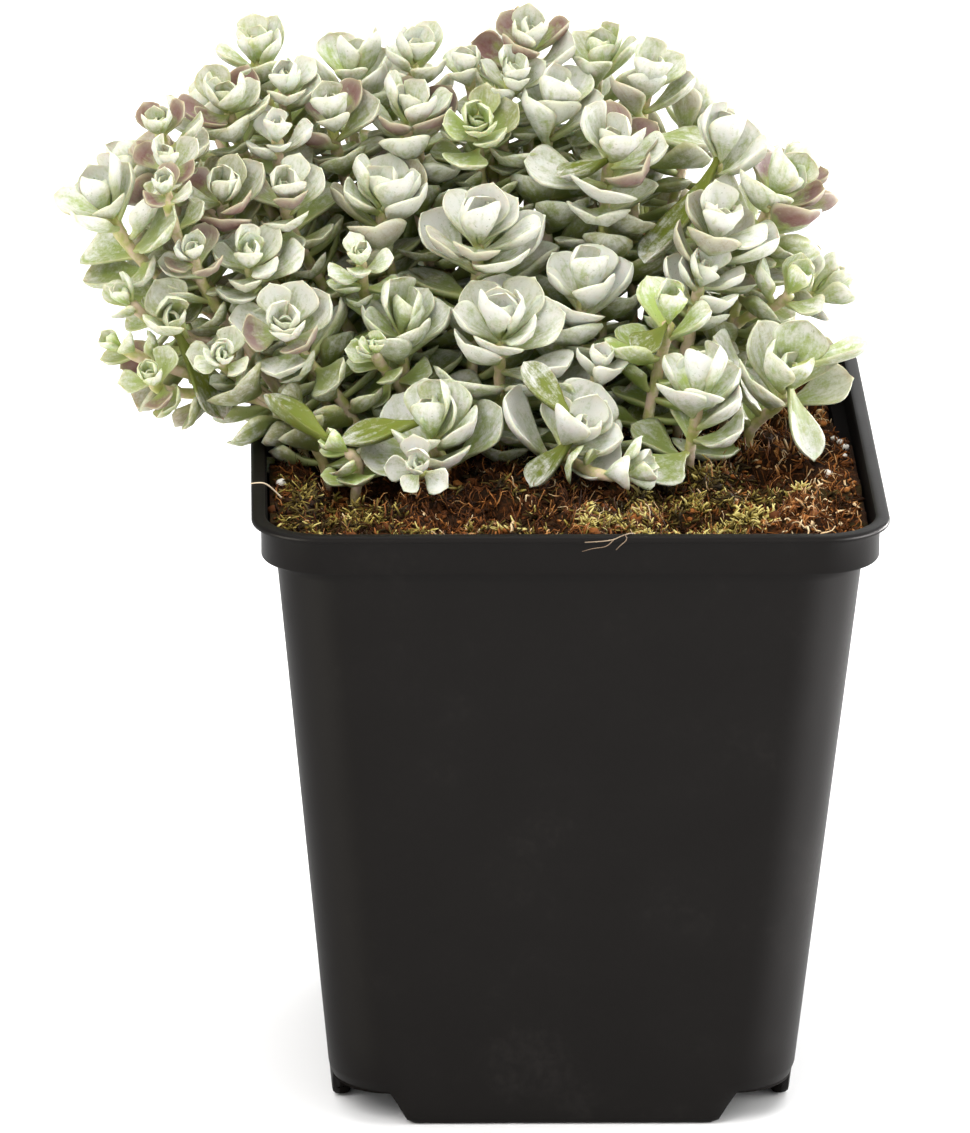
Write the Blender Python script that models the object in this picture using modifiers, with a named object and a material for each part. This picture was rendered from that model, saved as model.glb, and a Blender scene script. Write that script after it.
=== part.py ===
"""A potted sedum: a square nursery pot, its soil, and the leafy stems that stand in it.

Metres, +Z up, with the front of the plant towards -Y. The constants and the tables are in
millimetres from the pot's own centre line, and MM turns them into metres.
"""

import itertools
import math
from collections import namedtuple

import bmesh
import bpy
import numpy as np
from mathutils.bvhtree import BVHTree

MM = 0.001

# The plant leans over the left rim, so the pot stands to the right of the whole object's middle.
POT_CENTRE = (13.5, -5.0)

# The pot, a 9 cm square one
POT_HEIGHT = 94.0
WALL = 0.9
LIP_HALF = 45.0
LIP_CORNER = 9.5
BAND_HALF = 43.6
BAND_CORNER = 8.6
BAND_BOTTOM = 87.5
LEDGE_RISE = 0.6
BODY_TOP_HALF = 41.5
BODY_TOP_CORNER = 9.5
BODY_FOOT_HALF = 33.6
BODY_FOOT_CORNER = 9.0
FOOT_UPRIGHT = 1.0
CORNER_STEPS = 5
FLOOR_UNDER = 4.9
FLOOR_THICK = 1.2
APRON_HALF_TOP = 24.9
APRON_HALF_FOOT = 22.5
DRAIN_RADIUS = 4.5
DRAIN_FROM_CENTRE = 22.0

# The soil, 0.3 mm clear of the pot
CLEAR = 0.3
SOIL_LEVEL = 90.0
SOIL_LOWEST = 86.0
SOIL_SIDE_TOP = 83.0
SOIL_CORNER_STEPS = 3
# The rings of the soil's top, as shares of the way from the middle to the wall
SOIL_RINGS = (1.0, 0.74, 0.46, 0.18)
HOLE_DEPTH = 8.0
HOLE_ABOVE = 6.0
HOLE_SIDES = 4
COLLAR_RISE = 1.5

# Leaves and stems
STEM_RADIUS = 1.15
SIDE_RADIUS = 1.0
STEM_TIP_RADIUS = 1.3
STEM_POINTS = 3
# How far up the axis each ring of the closed bud lies, and its radius, as shares of the reach
BUD = ((0.28, 0.2), (0.52, 0.04))
GOLDEN_TURN = 137.5
LEAF_THICK = 1.5
LEAF_GAP = 0.3
OWN_GAP = 0.05
LEAF_STEPS = 50
LEAF_CURL = 26.0
LEAF_HALF_SHARE = 0.345
INNER_TILT = 18.0
INNER_SHARE = 0.66
# How uneven the leaves of a rosette are, in length and in degrees of tilt
UNEVEN_LENGTH = 0.11
UNEVEN_TILT = 7.0
# The outermost leaf joins this far below the crown and the innermost above it, as shares of reach
OUTER_DROP = 0.42
DROP_POWER = 1.4
INNER_RISE = 0.05
LONG_STATIONS = (0.5, 0.88)
SHORT_STATIONS = (0.7,)
SHORT_LEAF = 9.2
# A leaf is narrow where it joins, and its hidden root is left out of the tests for crossings
LEAF_FOOT = 0.14
ROOT_SHARE = 0.16
# What is tried to keep a leaf clear of its neighbours: its length, its tilt and its way round
SHRINKS = (1.0, 0.88, 0.76)
BENDS = (0, 8, -8, 16, -16, 24, -24, -34)
SWINGS = (0, 15, -15)
LEAST_TILT = 10.0
BOW_SIZES = (1.5, 3.0, 4.5, 6.0)
BOW_WAYS = 8
# The point of the trunk that the side stems leave from
FORK_POINT = 2
# A direction that no rosette faces, to measure turns from
ASIDE = (0.31, 0.95, 0.05)

POT_COLOUR = (0.020, 0.019, 0.018)
SOIL_COLOUR = (0.16, 0.075, 0.035)
LEAF_COLOUR = (0.50, 0.56, 0.42)


Head = namedtuple("Head", "stem x y z right front reach leaves spread turn")
Leaf = namedtuple("Leaf", "stem along x y z half_width")

# Where each stem stands in the soil, and the way it goes up
ROOTS = {
    1: (-17, -8),
    2: (-30, -11),
    3: (-2, -8),
    4: (18, -7),
    5: (27, 3),
    6: (12, 0),
    7: (17, 7),
    8: (-9, 2),
    9: (2, 7),
    10: (-22, 3),
    11: (-28, 0),
    12: (-34, -4),
    13: (-32, 6),
    14: (-37, 1),
    15: (-25, 9),
    16: (-13, 9),
    17: (-19, 13),
    18: (-36, 11),
    19: (-31, 14),
    20: (-26, 16),
    21: (-31, 21),
    22: (-25, 25),
    23: (-21, 19),
    24: (-19, 29),
    25: (-14, 18),
    26: (-13, 25),
    27: (-8, 14),
    28: (-6, 21),
    29: (-4, 29),
    30: (0, 17),
    31: (5, 28),
    32: (6, 13),
    33: (11, 22),
    34: (16, 17),
    35: (24, 13),
    36: (18, 12),
    37: (-33, 28),
    38: (-27, 34),
    39: (-17, 36),
    40: (-8, 36),
    41: (3, 35),
    42: (13, 31),
    43: (22, 24),
}

# Each rosette: its stem, the point where its leaves join, how far it leans to the right and
# towards the front in degrees, the length of its outer leaves, how many leaves, how far the
# outermost one stands off the axis in degrees, and where the spiral starts
HEADS = (
    Head(1, -19, -10, 96, -5, 25, 14, 10, 55, 200),
    Head(1, -21, -22, 96, -5, 50, 7, 6, 58, 30),
    Head(2, -31, -14, 96, -50, 20, 7, 3, 47, 90),
    Head(3, 0, -12, 96, 28, 28, 14, 9, 51, 20),
    Head(3, 8, -20, 95, 60, 30, 8, 5, 43, 80),
    Head(3, 5, -3, 105, 5, 30, 7, 6, 47, 130),
    Head(4, 19, -10, 102, 3, 15, 12, 7, 35, 160),
    Head(5, 32, 0, 100, 10, 25, 15, 11, 56, 10),
    Head(6, 15, -1, 111, 5, 25, 10, 7, 47, 60),
    Head(7, 20, 8, 114, 12, 30, 10, 7, 47, 0),
    Head(8, -9, 0, 108, 2, 28, 14, 10, 53, 150),
    Head(9, 3, 8, 112, 5, 20, 12, 7, 43, 80),
    Head(10, -23, 4, 107, 0, 22, 12, 8, 39, 300),
    Head(10, -27, -2, 107, -5, 40, 6, 5, 47, 0),
    Head(11, -40, 0, 110, 0, 55, 11, 9, 55, 90),
    Head(12, -56, 1, 110, -5, 55, 12, 10, 55, 40),
    Head(12, -49, -5, 107, 0, 55, 7, 6, 51, 10),
    Head(12, -59, -6, 104, -15, 45, 7, 5, 55, 100),
    Head(12, -63, -3, 108, -50, 30, 6, 4, 47, 0),
    Head(13, -45, 7, 117, 0, 35, 10, 8, 55, 60),
    Head(14, -53, 4, 119, -5, 35, 8, 6, 47, 0),
    Head(14, -62, 2, 113, -30, 25, 7, 5, 47, 180),
    Head(15, -29, 6, 118, 0, 40, 7, 6, 47, 50),
    Head(16, -12, 11, 119, 2, 27, 14, 10, 53, 220),
    Head(17, -26, 18, 122, 0, 20, 13, 8, 43, 100),
    Head(18, -65, 6, 125, -20, 15, 12, 7, 55, 170),
    Head(18, -57, 1, 130, -5, 40, 7, 6, 51, 20),
    Head(18, -57, 8, 132, -5, 40, 8, 6, 47, 90),
    Head(19, -58, 14, 135, -8, 35, 8, 6, 47, 170),
    Head(19, -49, 12, 125, 0, 35, 11, 7, 47, 90),
    Head(20, -40, 14, 125, 0, 38, 10, 7, 51, 90),
    Head(21, -48, 24, 135, -10, 35, 11, 8, 47, 120),
    Head(21, -41, 20, 132, 0, 30, 8, 6, 43, 60),
    Head(22, -44, 34, 140, -8, 20, 10, 6, 43, 110),
    Head(22, -40, 28, 137, 3, 35, 10, 7, 47, 60),
    Head(23, -33, 26, 133, -3, 30, 10, 7, 47, 60),
    Head(24, -30, 38, 135, 5, 12, 12, 7, 39, 150),
    Head(25, -22, 27, 132, 3, 20, 12, 8, 43, 100),
    Head(26, -21, 35, 139, 8, 25, 10, 6, 47, 0),
    Head(27, -12, 24, 133, 0, 55, 10, 9, 51, 90),
    Head(28, -7, 30, 138, 10, 30, 8, 6, 47, 80),
    Head(28, -13, 32, 138, -10, 25, 8, 5, 47, 180),
    Head(29, -4, 36, 141, 0, 28, 11, 7, 51, 30),
    Head(30, -1, 29, 133, 10, 20, 12, 7, 39, 60),
    Head(31, 6, 37, 137, 3, 15, 11, 6, 39, 160),
    Head(32, 7, 20, 129, 3, 30, 14, 11, 53, 100),
    Head(33, 13, 32, 136, 8, 22, 11, 7, 47, 60),
    Head(34, 23, 22, 128, 5, 20, 13, 8, 45, 100),
    Head(35, 31, 17, 124, 25, 25, 12, 8, 51, 0),
    Head(35, 33, 10, 112, 25, 30, 9, 5, 40, 30),
    Head(36, 22, 11, 120, 15, 25, 13, 9, 47, 60),
    Head(37, -50, 36, 129, -25, -15, 11, 7, 51, 0),
    Head(37, -60, 24, 124, -35, -5, 11, 6, 51, 90),
    Head(38, -38, 46, 127, -10, -30, 11, 7, 51, 30),
    Head(38, -45, 40, 114, -30, -40, 10, 5, 51, 60),
    Head(38, -32, 45, 106, -10, -55, 10, 5, 51, 0),
    Head(39, -22, 46, 131, -3, -30, 11, 7, 51, 80),
    Head(40, -8, 47, 133, 0, -25, 11, 7, 51, 40),
    Head(40, -15, 47, 115, -5, -45, 11, 6, 51, 10),
    Head(41, 6, 45, 130, 5, -30, 11, 7, 51, 70),
    Head(41, 14, 44, 113, 15, -45, 11, 6, 51, 0),
    Head(41, 1, 45, 103, 0, -55, 10, 5, 51, 40),
    Head(42, 20, 41, 127, 15, -25, 11, 7, 51, 20),
    Head(42, 25, 39, 103, 15, -50, 10, 5, 51, 80),
    Head(43, 33, 31, 121, 30, -10, 11, 7, 51, 50),
    Head(43, 37, 22, 108, 45, -5, 10, 5, 51, 100),
)

# Single leaves lower on a stem: how far along the stem, the tip's place and half the width
LEAVES = (
    Leaf(1, 0.9, -32, -12, 97, 4),
    Leaf(3, 0.8, -5, -17, 92, 3),
    Leaf(3, 0.9, -6, -9, 108, 3),
    Leaf(5, 0.8, 36, -6, 92, 3),
    Leaf(5, 0.8, 23, -2, 95, 4),
    Leaf(12, 0.7, -49, -4, 98, 4),
    Leaf(6, 0.7, 10, -5, 108, 3),
    Leaf(32, 0.7, 0, 16, 128, 4),
    Leaf(5, 0.9, 44, -1, 108, 3),
    Leaf(5, 0.95, 42, 6, 109, 4),
    Leaf(2, 0.85, -43, -9, 103, 4),
    Leaf(34, 0.75, 12, 12, 116, 4),
)


def unit(vector):
    return vector / np.linalg.norm(vector)


def smooth(value):
    value = np.clip(value, 0.0, 1.0)
    return value * value * (3.0 - 2.0 * value)


def material(name, colour, roughness):
    """A plain finish in one colour."""
    made = bpy.data.materials.new(name)
    made.use_nodes = True
    shader = made.node_tree.nodes["Principled BSDF"]
    shader.inputs["Base Color"].default_value = (*colour, 1.0)
    shader.inputs["Roughness"].default_value = roughness
    return made


def mesh_object(name, points, faces, collection, closed=True):
    """An object from millimetres off the pot's centre line, its faces outwards if it is closed."""
    mesh = bpy.data.meshes.new(name)
    placed = np.asarray(points, dtype=float) + (*POT_CENTRE, 0.0)
    mesh.from_pydata((placed * MM).tolist(), [], faces)
    if closed:
        shell = bmesh.new()
        shell.from_mesh(mesh)
        bmesh.ops.recalc_face_normals(shell, faces=shell.faces)
        shell.to_mesh(mesh)
        shell.free()
    made = bpy.data.objects.new(name, mesh)
    collection.objects.link(made)
    return made


def applied(made):
    """Makes the object's modifiers final."""
    graph = bpy.context.evaluated_depsgraph_get()
    final = bpy.data.meshes.new_from_object(made.evaluated_get(graph))
    made.modifiers.clear()
    made.data = final


def boolean(made, operation, other, solver="EXACT"):
    step = made.modifiers.new(operation.lower(), "BOOLEAN")
    step.operation = operation
    step.solver = solver
    if isinstance(other, bpy.types.Collection):
        step.operand_type = "COLLECTION"
        step.collection = other
    else:
        step.object = other
    return step


def rounded_square(half, corner, height, steps=CORNER_STEPS):
    """One ring of points round a square with rounded corners, counter-clockwise from +X."""
    ring = []
    for quarter in range(4):
        for step in range(steps + 1):
            angle = math.radians(90.0 * (quarter + step / steps))
            centre = math.radians(90.0 * quarter + 45.0)
            across = math.copysign(half - corner, math.cos(centre))
            along = math.copysign(half - corner, math.sin(centre))
            ring.append((across + corner * math.cos(angle), along + corner * math.sin(angle), height))
    return np.array(ring)


def loft(rings, capped):
    """Faces between rings of equal length, each next one further along the shape."""
    size = len(rings[0])
    faces = []
    for level in range(len(rings) - 1):
        for k in range(size):
            a = level * size + k
            b = level * size + (k + 1) % size
            faces.append((a, b, b + size, a + size))
    if capped:
        top = (len(rings) - 1) * size
        faces.append(tuple(reversed(range(size))))
        faces.append(tuple(range(top, top + size)))
    return np.vstack(rings), faces


def body_half(height):
    """Half the pot's outer width below the band."""
    return BODY_FOOT_HALF + (BODY_TOP_HALF - BODY_FOOT_HALF) * (height - FLOOR_UNDER) / (
        BAND_BOTTOM - FLOOR_UNDER
    )


def make_pot(parts, cutters):
    """A thin tapered wall with a band and a lip, a raised floor and four aprons to stand on."""
    profile = (
        (body_half(FOOT_UPRIGHT), BODY_FOOT_CORNER, 0.0),
        (body_half(FOOT_UPRIGHT), BODY_FOOT_CORNER, FOOT_UPRIGHT),
        (BODY_TOP_HALF, BODY_TOP_CORNER, BAND_BOTTOM),
        (BAND_HALF, BAND_CORNER, BAND_BOTTOM + LEDGE_RISE),
        (BAND_HALF, BAND_CORNER, POT_HEIGHT - WALL),
        (LIP_HALF, LIP_CORNER, POT_HEIGHT - WALL),
    )
    points, faces = loft([rounded_square(*row) for row in profile], False)
    pot = mesh_object("pot", points, faces, parts, closed=False)
    wall = pot.modifiers.new("wall", "SOLIDIFY")
    wall.thickness = WALL * MM
    wall.offset = -1.0
    wall.use_even_offset = True
    applied(pot)

    plate_half = body_half(FLOOR_UNDER) - WALL * 0.5
    plate = [
        rounded_square(plate_half, BODY_FOOT_CORNER - WALL * 0.5, height)
        for height in (FLOOR_UNDER, FLOOR_UNDER + FLOOR_THICK)
    ]
    floor = mesh_object("pot_floor_plate", *loft(plate, True), cutters)
    boolean(pot, "UNION", floor)
    for turn in range(4):
        boolean(pot, "DIFFERENCE", corner_cutter(turn, cutters))
        boolean(pot, "DIFFERENCE", drain_cutter(turn, cutters))
    applied(pot)
    pot.data.materials.append(material("black_plastic", POT_COLOUR, 0.42))
    return pot


def corner_cutter(turn, cutters):
    """A block with two slanted sides that frees one corner under the floor."""
    reach = LIP_HALF
    foot = APRON_HALF_FOOT - (APRON_HALF_TOP - APRON_HALF_FOOT) / FLOOR_UNDER
    block = []
    for near, height in ((foot, -1.0), (APRON_HALF_TOP, FLOOR_UNDER + 0.2)):
        square = ((near, near), (reach, near), (reach, reach), (near, reach))
        block.append(np.array([turned(x, y, turn) + (height,) for x, y in square]))
    return mesh_object(f"corner_cutter_{turn}", *loft(block, True), cutters)


def turned(x, y, quarters):
    for _ in range(quarters):
        x, y = -y, x
    return (x, y)


def drain_cutter(turn, cutters):
    x, y = turned(DRAIN_FROM_CENTRE, DRAIN_FROM_CENTRE, turn)
    rings = []
    for height in (FLOOR_UNDER - 1.0, FLOOR_UNDER + FLOOR_THICK + 1.0):
        angles = np.radians(np.arange(0.0, 360.0, 30.0))
        ring = np.stack([x + DRAIN_RADIUS * np.cos(angles), y + DRAIN_RADIUS * np.sin(angles)], 1)
        rings.append(np.column_stack([ring, np.full(len(ring), height)]))
    return mesh_object(f"drain_cutter_{turn}", *loft(rings, True), cutters)


def soil_height(x, y):
    """Level at the front and in the middle, sunk at the left and along the right wall, with humps."""
    left = 4.0 * smooth((-x - 10.0) / 28.0) * smooth((y + 36.0) / 30.0)
    right = 1.2 * smooth((x - 32.0) / 7.0) * smooth((y + 30.0) / 20.0)
    humps = 0.7 * np.sin(0.21 * x + 1.3) * np.sin(0.17 * y + 0.5)
    lumps = 0.4 * np.sin(0.47 * x) * np.cos(0.53 * y + 1.0)
    return SOIL_LEVEL - left - right + humps + lumps


def soil_top_rings():
    """Rounded squares from the wall to the middle, lifted to the soil's height."""
    edge = body_half(SOIL_LOWEST) - WALL - CLEAR
    corner = BODY_TOP_CORNER - WALL - CLEAR
    rings = []
    for share in SOIL_RINGS:
        ring = rounded_square(edge * share, corner * share, 0.0, SOIL_CORNER_STEPS)
        ring[:, 2] = soil_height(ring[:, 0], ring[:, 1])
        rings.append(ring)
    return rings


def make_soil(parts, cutters, feet):
    """The soil fills the pot up to its uneven top, with a plain hole for each stem."""
    inside = WALL + CLEAR
    low = FLOOR_UNDER + FLOOR_THICK + CLEAR
    rows = (
        (body_half(low) - inside, BODY_FOOT_CORNER - inside, low),
        (body_half(SOIL_SIDE_TOP) - inside, BODY_TOP_CORNER - inside, SOIL_SIDE_TOP),
    )
    rings = [rounded_square(*row, SOIL_CORNER_STEPS) for row in rows] + soil_top_rings()
    soil = mesh_object("soil", *loft(rings, True), parts)
    holes = bpy.data.collections.new("stem_holes")
    cutters.children.link(holes)
    for stem, foot in feet.items():
        mesh_object(f"hole_{stem:02d}", *hole(foot), holes)
    boolean(soil, "DIFFERENCE", holes)
    applied(soil)
    soil.data.materials.append(material("peat", SOIL_COLOUR, 0.95))
    return soil


def hole(foot):
    """A straight hole round the foot of a stem, a little wider and deeper than it."""
    radius = (STEM_RADIUS + CLEAR) / math.cos(math.pi / HOLE_SIDES)
    angles = np.arange(HOLE_SIDES) * 2.0 * math.pi / HOLE_SIDES
    rings = []
    for height in (foot[2] - CLEAR, foot[2] + HOLE_DEPTH + HOLE_ABOVE):
        ring = np.stack([foot[0] + radius * np.cos(angles), foot[1] + radius * np.sin(angles)], 1)
        rings.append(np.column_stack([ring, np.full(HOLE_SIDES, height)]))
    return loft(rings, True)


def axis_of(head):
    """The way a rosette faces, from its lean to the right and to the front."""
    across = math.tan(math.radians(head.right))
    ahead = math.tan(math.radians(head.front))
    return unit(np.array([across, -ahead, 1.0]))


def bent(start, leave, arrive, end, count):
    """Points along a cubic curve after its start."""
    t = (np.arange(count) + 1.0)[:, None] / count
    rest = 1.0 - t
    return rest**3 * start + 3 * rest**2 * t * leave + 3 * rest * t**2 * arrive + t**3 * end


def stem_path(start, up, head, bow, count):
    """From a point, leaving along up, to a rosette's crown and a little way into it."""
    crown = np.array([head.x, head.y, head.z], dtype=float)
    axis = axis_of(head)
    far = np.linalg.norm(crown - start)
    leave = start + up * far * 0.38 + bow
    arrive = crown - axis * far * 0.35 + bow
    path = bent(start, leave, arrive, crown, count)
    bud = [crown + axis * head.reach * share for share, _ in BUD]
    return np.vstack([path, bud])


def stem_radii(count, thick, head):
    """Thick at the foot and thinner at the crown, then the bud of closed leaves."""
    stem = np.linspace(thick, STEM_TIP_RADIUS, count - len(BUD))
    return np.concatenate([stem, [head.reach * wide for _, wide in BUD]])


def tube(name, path, radii, collection):
    """A stem as a bevelled curve, made a closed mesh."""
    curve = bpy.data.curves.new(name, "CURVE")
    curve.dimensions = "3D"
    curve.bevel_depth = MM
    curve.bevel_resolution = 0
    curve.use_fill_caps = True
    spline = curve.splines.new("POLY")
    spline.points.add(len(path) - 1)
    for point, place, radius in zip(spline.points, path, radii):
        point.co = (*((place + (*POT_CENTRE, 0.0)) * MM), 1.0)
        point.radius = radius
    guide = bpy.data.objects.new(name + "_curve", curve)
    collection.objects.link(guide)
    graph = bpy.context.evaluated_depsgraph_get()
    mesh = bpy.data.meshes.new_from_object(guide.evaluated_get(graph))
    bpy.data.objects.remove(guide)
    shell = bmesh.new()
    shell.from_mesh(mesh)
    bmesh.ops.remove_doubles(shell, verts=shell.verts, dist=0.00001)
    bmesh.ops.recalc_face_normals(shell, faces=shell.faces)
    shell.to_mesh(mesh)
    shell.free()
    made = bpy.data.objects.new(name, mesh)
    collection.objects.link(made)
    return made


class Room:
    """What already stands in the plant, to keep each new leaf clear of it."""

    def __init__(self):
        self.taken = []

    def add(self, owner, points, faces):
        points = np.asarray(points)
        middle = points.mean(axis=0)
        reach = float(np.linalg.norm(points - middle, axis=1).max())
        tree = BVHTree.FromPolygons(points.tolist(), faces)
        self.taken.append((owner, middle, reach, tree))

    def add_object(self, owner, made):
        points = np.array([vertex.co for vertex in made.data.vertices]) / MM - (*POT_CENTRE, 0.0)
        self.add(owner, points, [tuple(face.vertices) for face in made.data.polygons])

    def is_clear(self, friends, points, faces):
        """True where the shape crosses nothing but what its friends own."""
        middle = points.mean(axis=0)
        reach = float(np.linalg.norm(points - middle, axis=1).max())
        tree = BVHTree.FromPolygons(points.tolist(), faces)
        for owner, other_middle, other_reach, other in self.taken:
            if owner in friends:
                continue
            if np.linalg.norm(other_middle - middle) > reach + other_reach:
                continue
            if tree.overlap(other):
                return False
        return True


def leaf_width(along):
    """Spoon outline, 1 at its widest: a narrow foot that swells to a round end."""
    if along < 0.68:
        return LEAF_FOOT + (1.0 - LEAF_FOOT) * float(smooth(along / 0.68))
    return math.sqrt(max(0.0, 1.0 - ((along - 0.68) / 0.34) ** 2))


def leaf(foot, axis, outward, tilt, length, half_width, spare=0.0, start=0.0):
    """One closed leaf, a loft between three-cornered sections that ends in a point.

    Its middle line leaves the foot at tilt + LEAF_CURL / 2 degrees off the axis and turns back
    towards it by LEAF_CURL degrees. A section is the two edges, on the upper side, and the
    middle of the lower side.
    """
    fine = (np.arange(LEAF_STEPS) + 0.5) / LEAF_STEPS
    turn = np.radians(tilt + LEAF_CURL * (0.5 - fine))
    steps = np.outer(np.sin(turn), outward) + np.outer(np.cos(turn), axis)
    line = foot + np.vstack([np.zeros(3), np.cumsum(steps, axis=0)]) * (length + spare) / LEAF_STEPS
    side = np.cross(axis, outward)
    stations = (start, *(LONG_STATIONS if length > SHORT_LEAF else SHORT_STATIONS))
    points = []
    for along in stations:
        angle = math.radians(tilt + LEAF_CURL * (0.5 - along))
        inward = axis * math.sin(angle) - outward * math.cos(angle)
        middle = line[int(round(along * LEAF_STEPS))]
        half = half_width * leaf_width(along) + spare
        body = LEAF_THICK * (0.75 + 0.5 * math.sin(math.pi * along)) * 0.5 + spare
        points.append(middle + side * half + inward * body)
        points.append(middle - side * half + inward * body)
        points.append(middle - inward * body)
    faces = [(0, 1, 2)]
    for ring in range(len(stations) - 1):
        a = 3 * ring
        b = a + 3
        faces += [(a, b, a + 1), (a + 1, b, b + 1)]
        faces += [(a + 1, b + 1, b + 2), (a + 1, b + 2, a + 2)]
        faces += [(a, a + 2, b + 2), (a, b + 2, b)]
    last = 3 * (len(stations) - 1)
    points.append(line[-1] + inward * LEAF_THICK * 0.2)
    tip = len(points) - 1
    faces += [(last + k, tip, last + (k + 1) % 3) for k in range(3)]
    return np.array(points), faces


def across(axis, turn):
    """A direction square to the axis, turned about it."""
    first = unit(np.cross(axis, ASIDE))
    second = np.cross(axis, first)
    angle = math.radians(turn)
    return first * math.cos(angle) + second * math.sin(angle)


def back_along(path, distance):
    """The point this far down a stem from the crown, and the way up there."""
    crown = len(path) - 1 - len(BUD)
    for k in range(crown, 0, -1):
        piece = path[k] - path[k - 1]
        long = float(np.linalg.norm(piece))
        if distance <= long or k == 1:
            return path[k] - piece * min(1.0, distance / long), piece / long
        distance -= long
    return path[0], unit(path[1] - path[0])


def uneven(head, rank, shift):
    """A number between -1 and 1 that looks random and is the same each time."""
    return math.sin(head.turn * 1.7 + head.x * 3.1 + rank * 2.4 + shift)


def rosette(head, path):
    """The leaves that a head wants, innermost first: foot, axis, outward, tilt and sizes."""
    facing = axis_of(head)
    rows = []
    for rank in reversed(range(head.leaves)):
        age = 1.0 - rank / max(1, head.leaves - 1)
        below = head.reach * (OUTER_DROP * age**DROP_POWER - INNER_RISE)
        foot, way = back_along(path, max(0.0, below))
        axis = unit(facing * (1.0 - 0.5 * age) + way * 0.5 * age)
        tilt = INNER_TILT + (head.spread - INNER_TILT) * age**0.9
        tilt += UNEVEN_TILT * age * uneven(head, rank, 0.0)
        length = head.reach * (INNER_SHARE + (1.0 - INNER_SHARE) * age)
        length *= 1.0 - UNEVEN_LENGTH * (1.0 + uneven(head, rank, 2.0)) * 0.5
        outward = across(axis, head.turn + GOLDEN_TURN * rank)
        rows.append((foot, axis, outward, tilt, length, length * LEAF_HALF_SHARE))
    return rows


def bows():
    """Sideways bends to try on a stem, from none outwards."""
    yield np.zeros(3)
    for size in BOW_SIZES:
        for turn in range(BOW_WAYS):
            angle = math.radians(360.0 * turn / BOW_WAYS)
            yield np.array([size * math.cos(angle), size * math.sin(angle), 0.0])


def fitted_stem(room, stem, start, up, lead, head, thick, collection):
    """A stem or a side stem on the first bow that keeps it clear of the others."""
    for bow in bows():
        path = np.vstack([lead, stem_path(start, up, head, bow, STEM_POINTS)])
        made = tube(f"stem_{stem:02d}", path, stem_radii(len(path), thick, head), collection)
        points = np.array([vertex.co for vertex in made.data.vertices]) / MM - (*POT_CENTRE, 0.0)
        faces = [tuple(face.vertices) for face in made.data.polygons]
        if room.is_clear((stem, "soil"), points, faces):
            room.add(stem, points, faces)
            return path
        bpy.data.objects.remove(made)
    raise ValueError(f"stem {stem} crosses another on every bow")


def keep_outer_skin(made):
    """Fills any pocket that the leaves closed off, by dropping its own skin."""
    shell = bmesh.new()
    shell.from_mesh(made.data)
    waiting = set(shell.verts)
    skins = []
    while waiting:
        edge = [waiting.pop()]
        skin = set(edge)
        while edge:
            for link in edge.pop().link_edges:
                for vertex in link.verts:
                    if vertex in waiting:
                        waiting.remove(vertex)
                        skin.add(vertex)
                        edge.append(vertex)
        skins.append(skin)
    skins.sort(key=len)
    inner = [vertex for skin in skins[:-1] for vertex in skin]
    bmesh.ops.delete(shell, geom=inner, context="VERTS")
    shell.to_mesh(made.data)
    shell.free()


def fuse(name, collection, parts):
    """Joins a node's stems and leaves with one Boolean union."""
    first = collection.objects[0]
    collection.objects.unlink(first)
    parts.objects.link(first)
    first.name = name
    boolean(first, "UNION", collection)
    applied(first)
    keep_outer_skin(first)
    for piece in list(collection.objects):
        bpy.data.objects.remove(piece)
    return first


def grow(pot, soil_top, pieces):
    """All the stems first, then all the leaves, each clear of what belongs to another stem."""
    room = Room()
    room.add_object("pot", pot)
    room.add("soil", *soil_top)
    feet = {}
    trunks = {}
    paths = {}
    up = np.array([0.0, 0.0, 1.0])
    for stem, (x, y) in ROOTS.items():
        collection = bpy.data.collections.new(f"pieces_{stem:02d}")
        pieces.children.link(collection)
        ground = float(soil_height(x, y))
        foot = np.array([x, y, ground - HOLE_DEPTH])
        collar = np.array([x, y, ground + COLLAR_RISE])
        feet[stem] = foot
        own = [head for head in HEADS if head.stem == stem]
        trunk = fitted_stem(
            room, stem, collar, up, [foot, collar], own[0], STEM_RADIUS, collection
        )
        trunks[stem] = trunk
        paths[own[0]] = trunk
        fork = trunk[FORK_POINT]
        along = unit(trunk[FORK_POINT + 1] - fork)
        for head in own[1:]:
            paths[head] = fitted_stem(
                room, stem, fork, along, [fork], head, SIDE_RADIUS, collection
            )
    for single in LEAVES:
        settle(room, single, single_leaf(trunks[single.stem], single), pieces)
    for head in HEADS:
        for wish in rosette(head, paths[head]):
            settle(room, head, wish, pieces)
    return feet


def settle(room, owner, wish, pieces):
    """Adds one leaf where there is room for it."""
    fitted = place(room, owner, owner.stem, wish)
    if fitted is not None:
        room.add(owner, *fitted)
        mesh_object(f"leaf_{owner.stem:02d}", *fitted, pieces.children[f"pieces_{owner.stem:02d}"])


def single_leaf(trunk, single):
    """A leaf from a place along a stem to the tip that the table gives."""
    spot = single.along * (len(trunk) - 1)
    before = int(spot)
    foot = trunk[before] + (trunk[min(before + 1, len(trunk) - 1)] - trunk[before]) * (spot - before)
    reach = np.array([single.x, single.y, single.z], dtype=float) - foot
    length = float(np.linalg.norm(reach))
    axis = np.array([0.0, 0.0, 1.0])
    outward = unit(reach * (1.0, 1.0, 0.0))
    tilt = math.degrees(math.acos(reach[2] / length))
    return foot, axis, outward, tilt, length, float(single.half_width)


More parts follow.
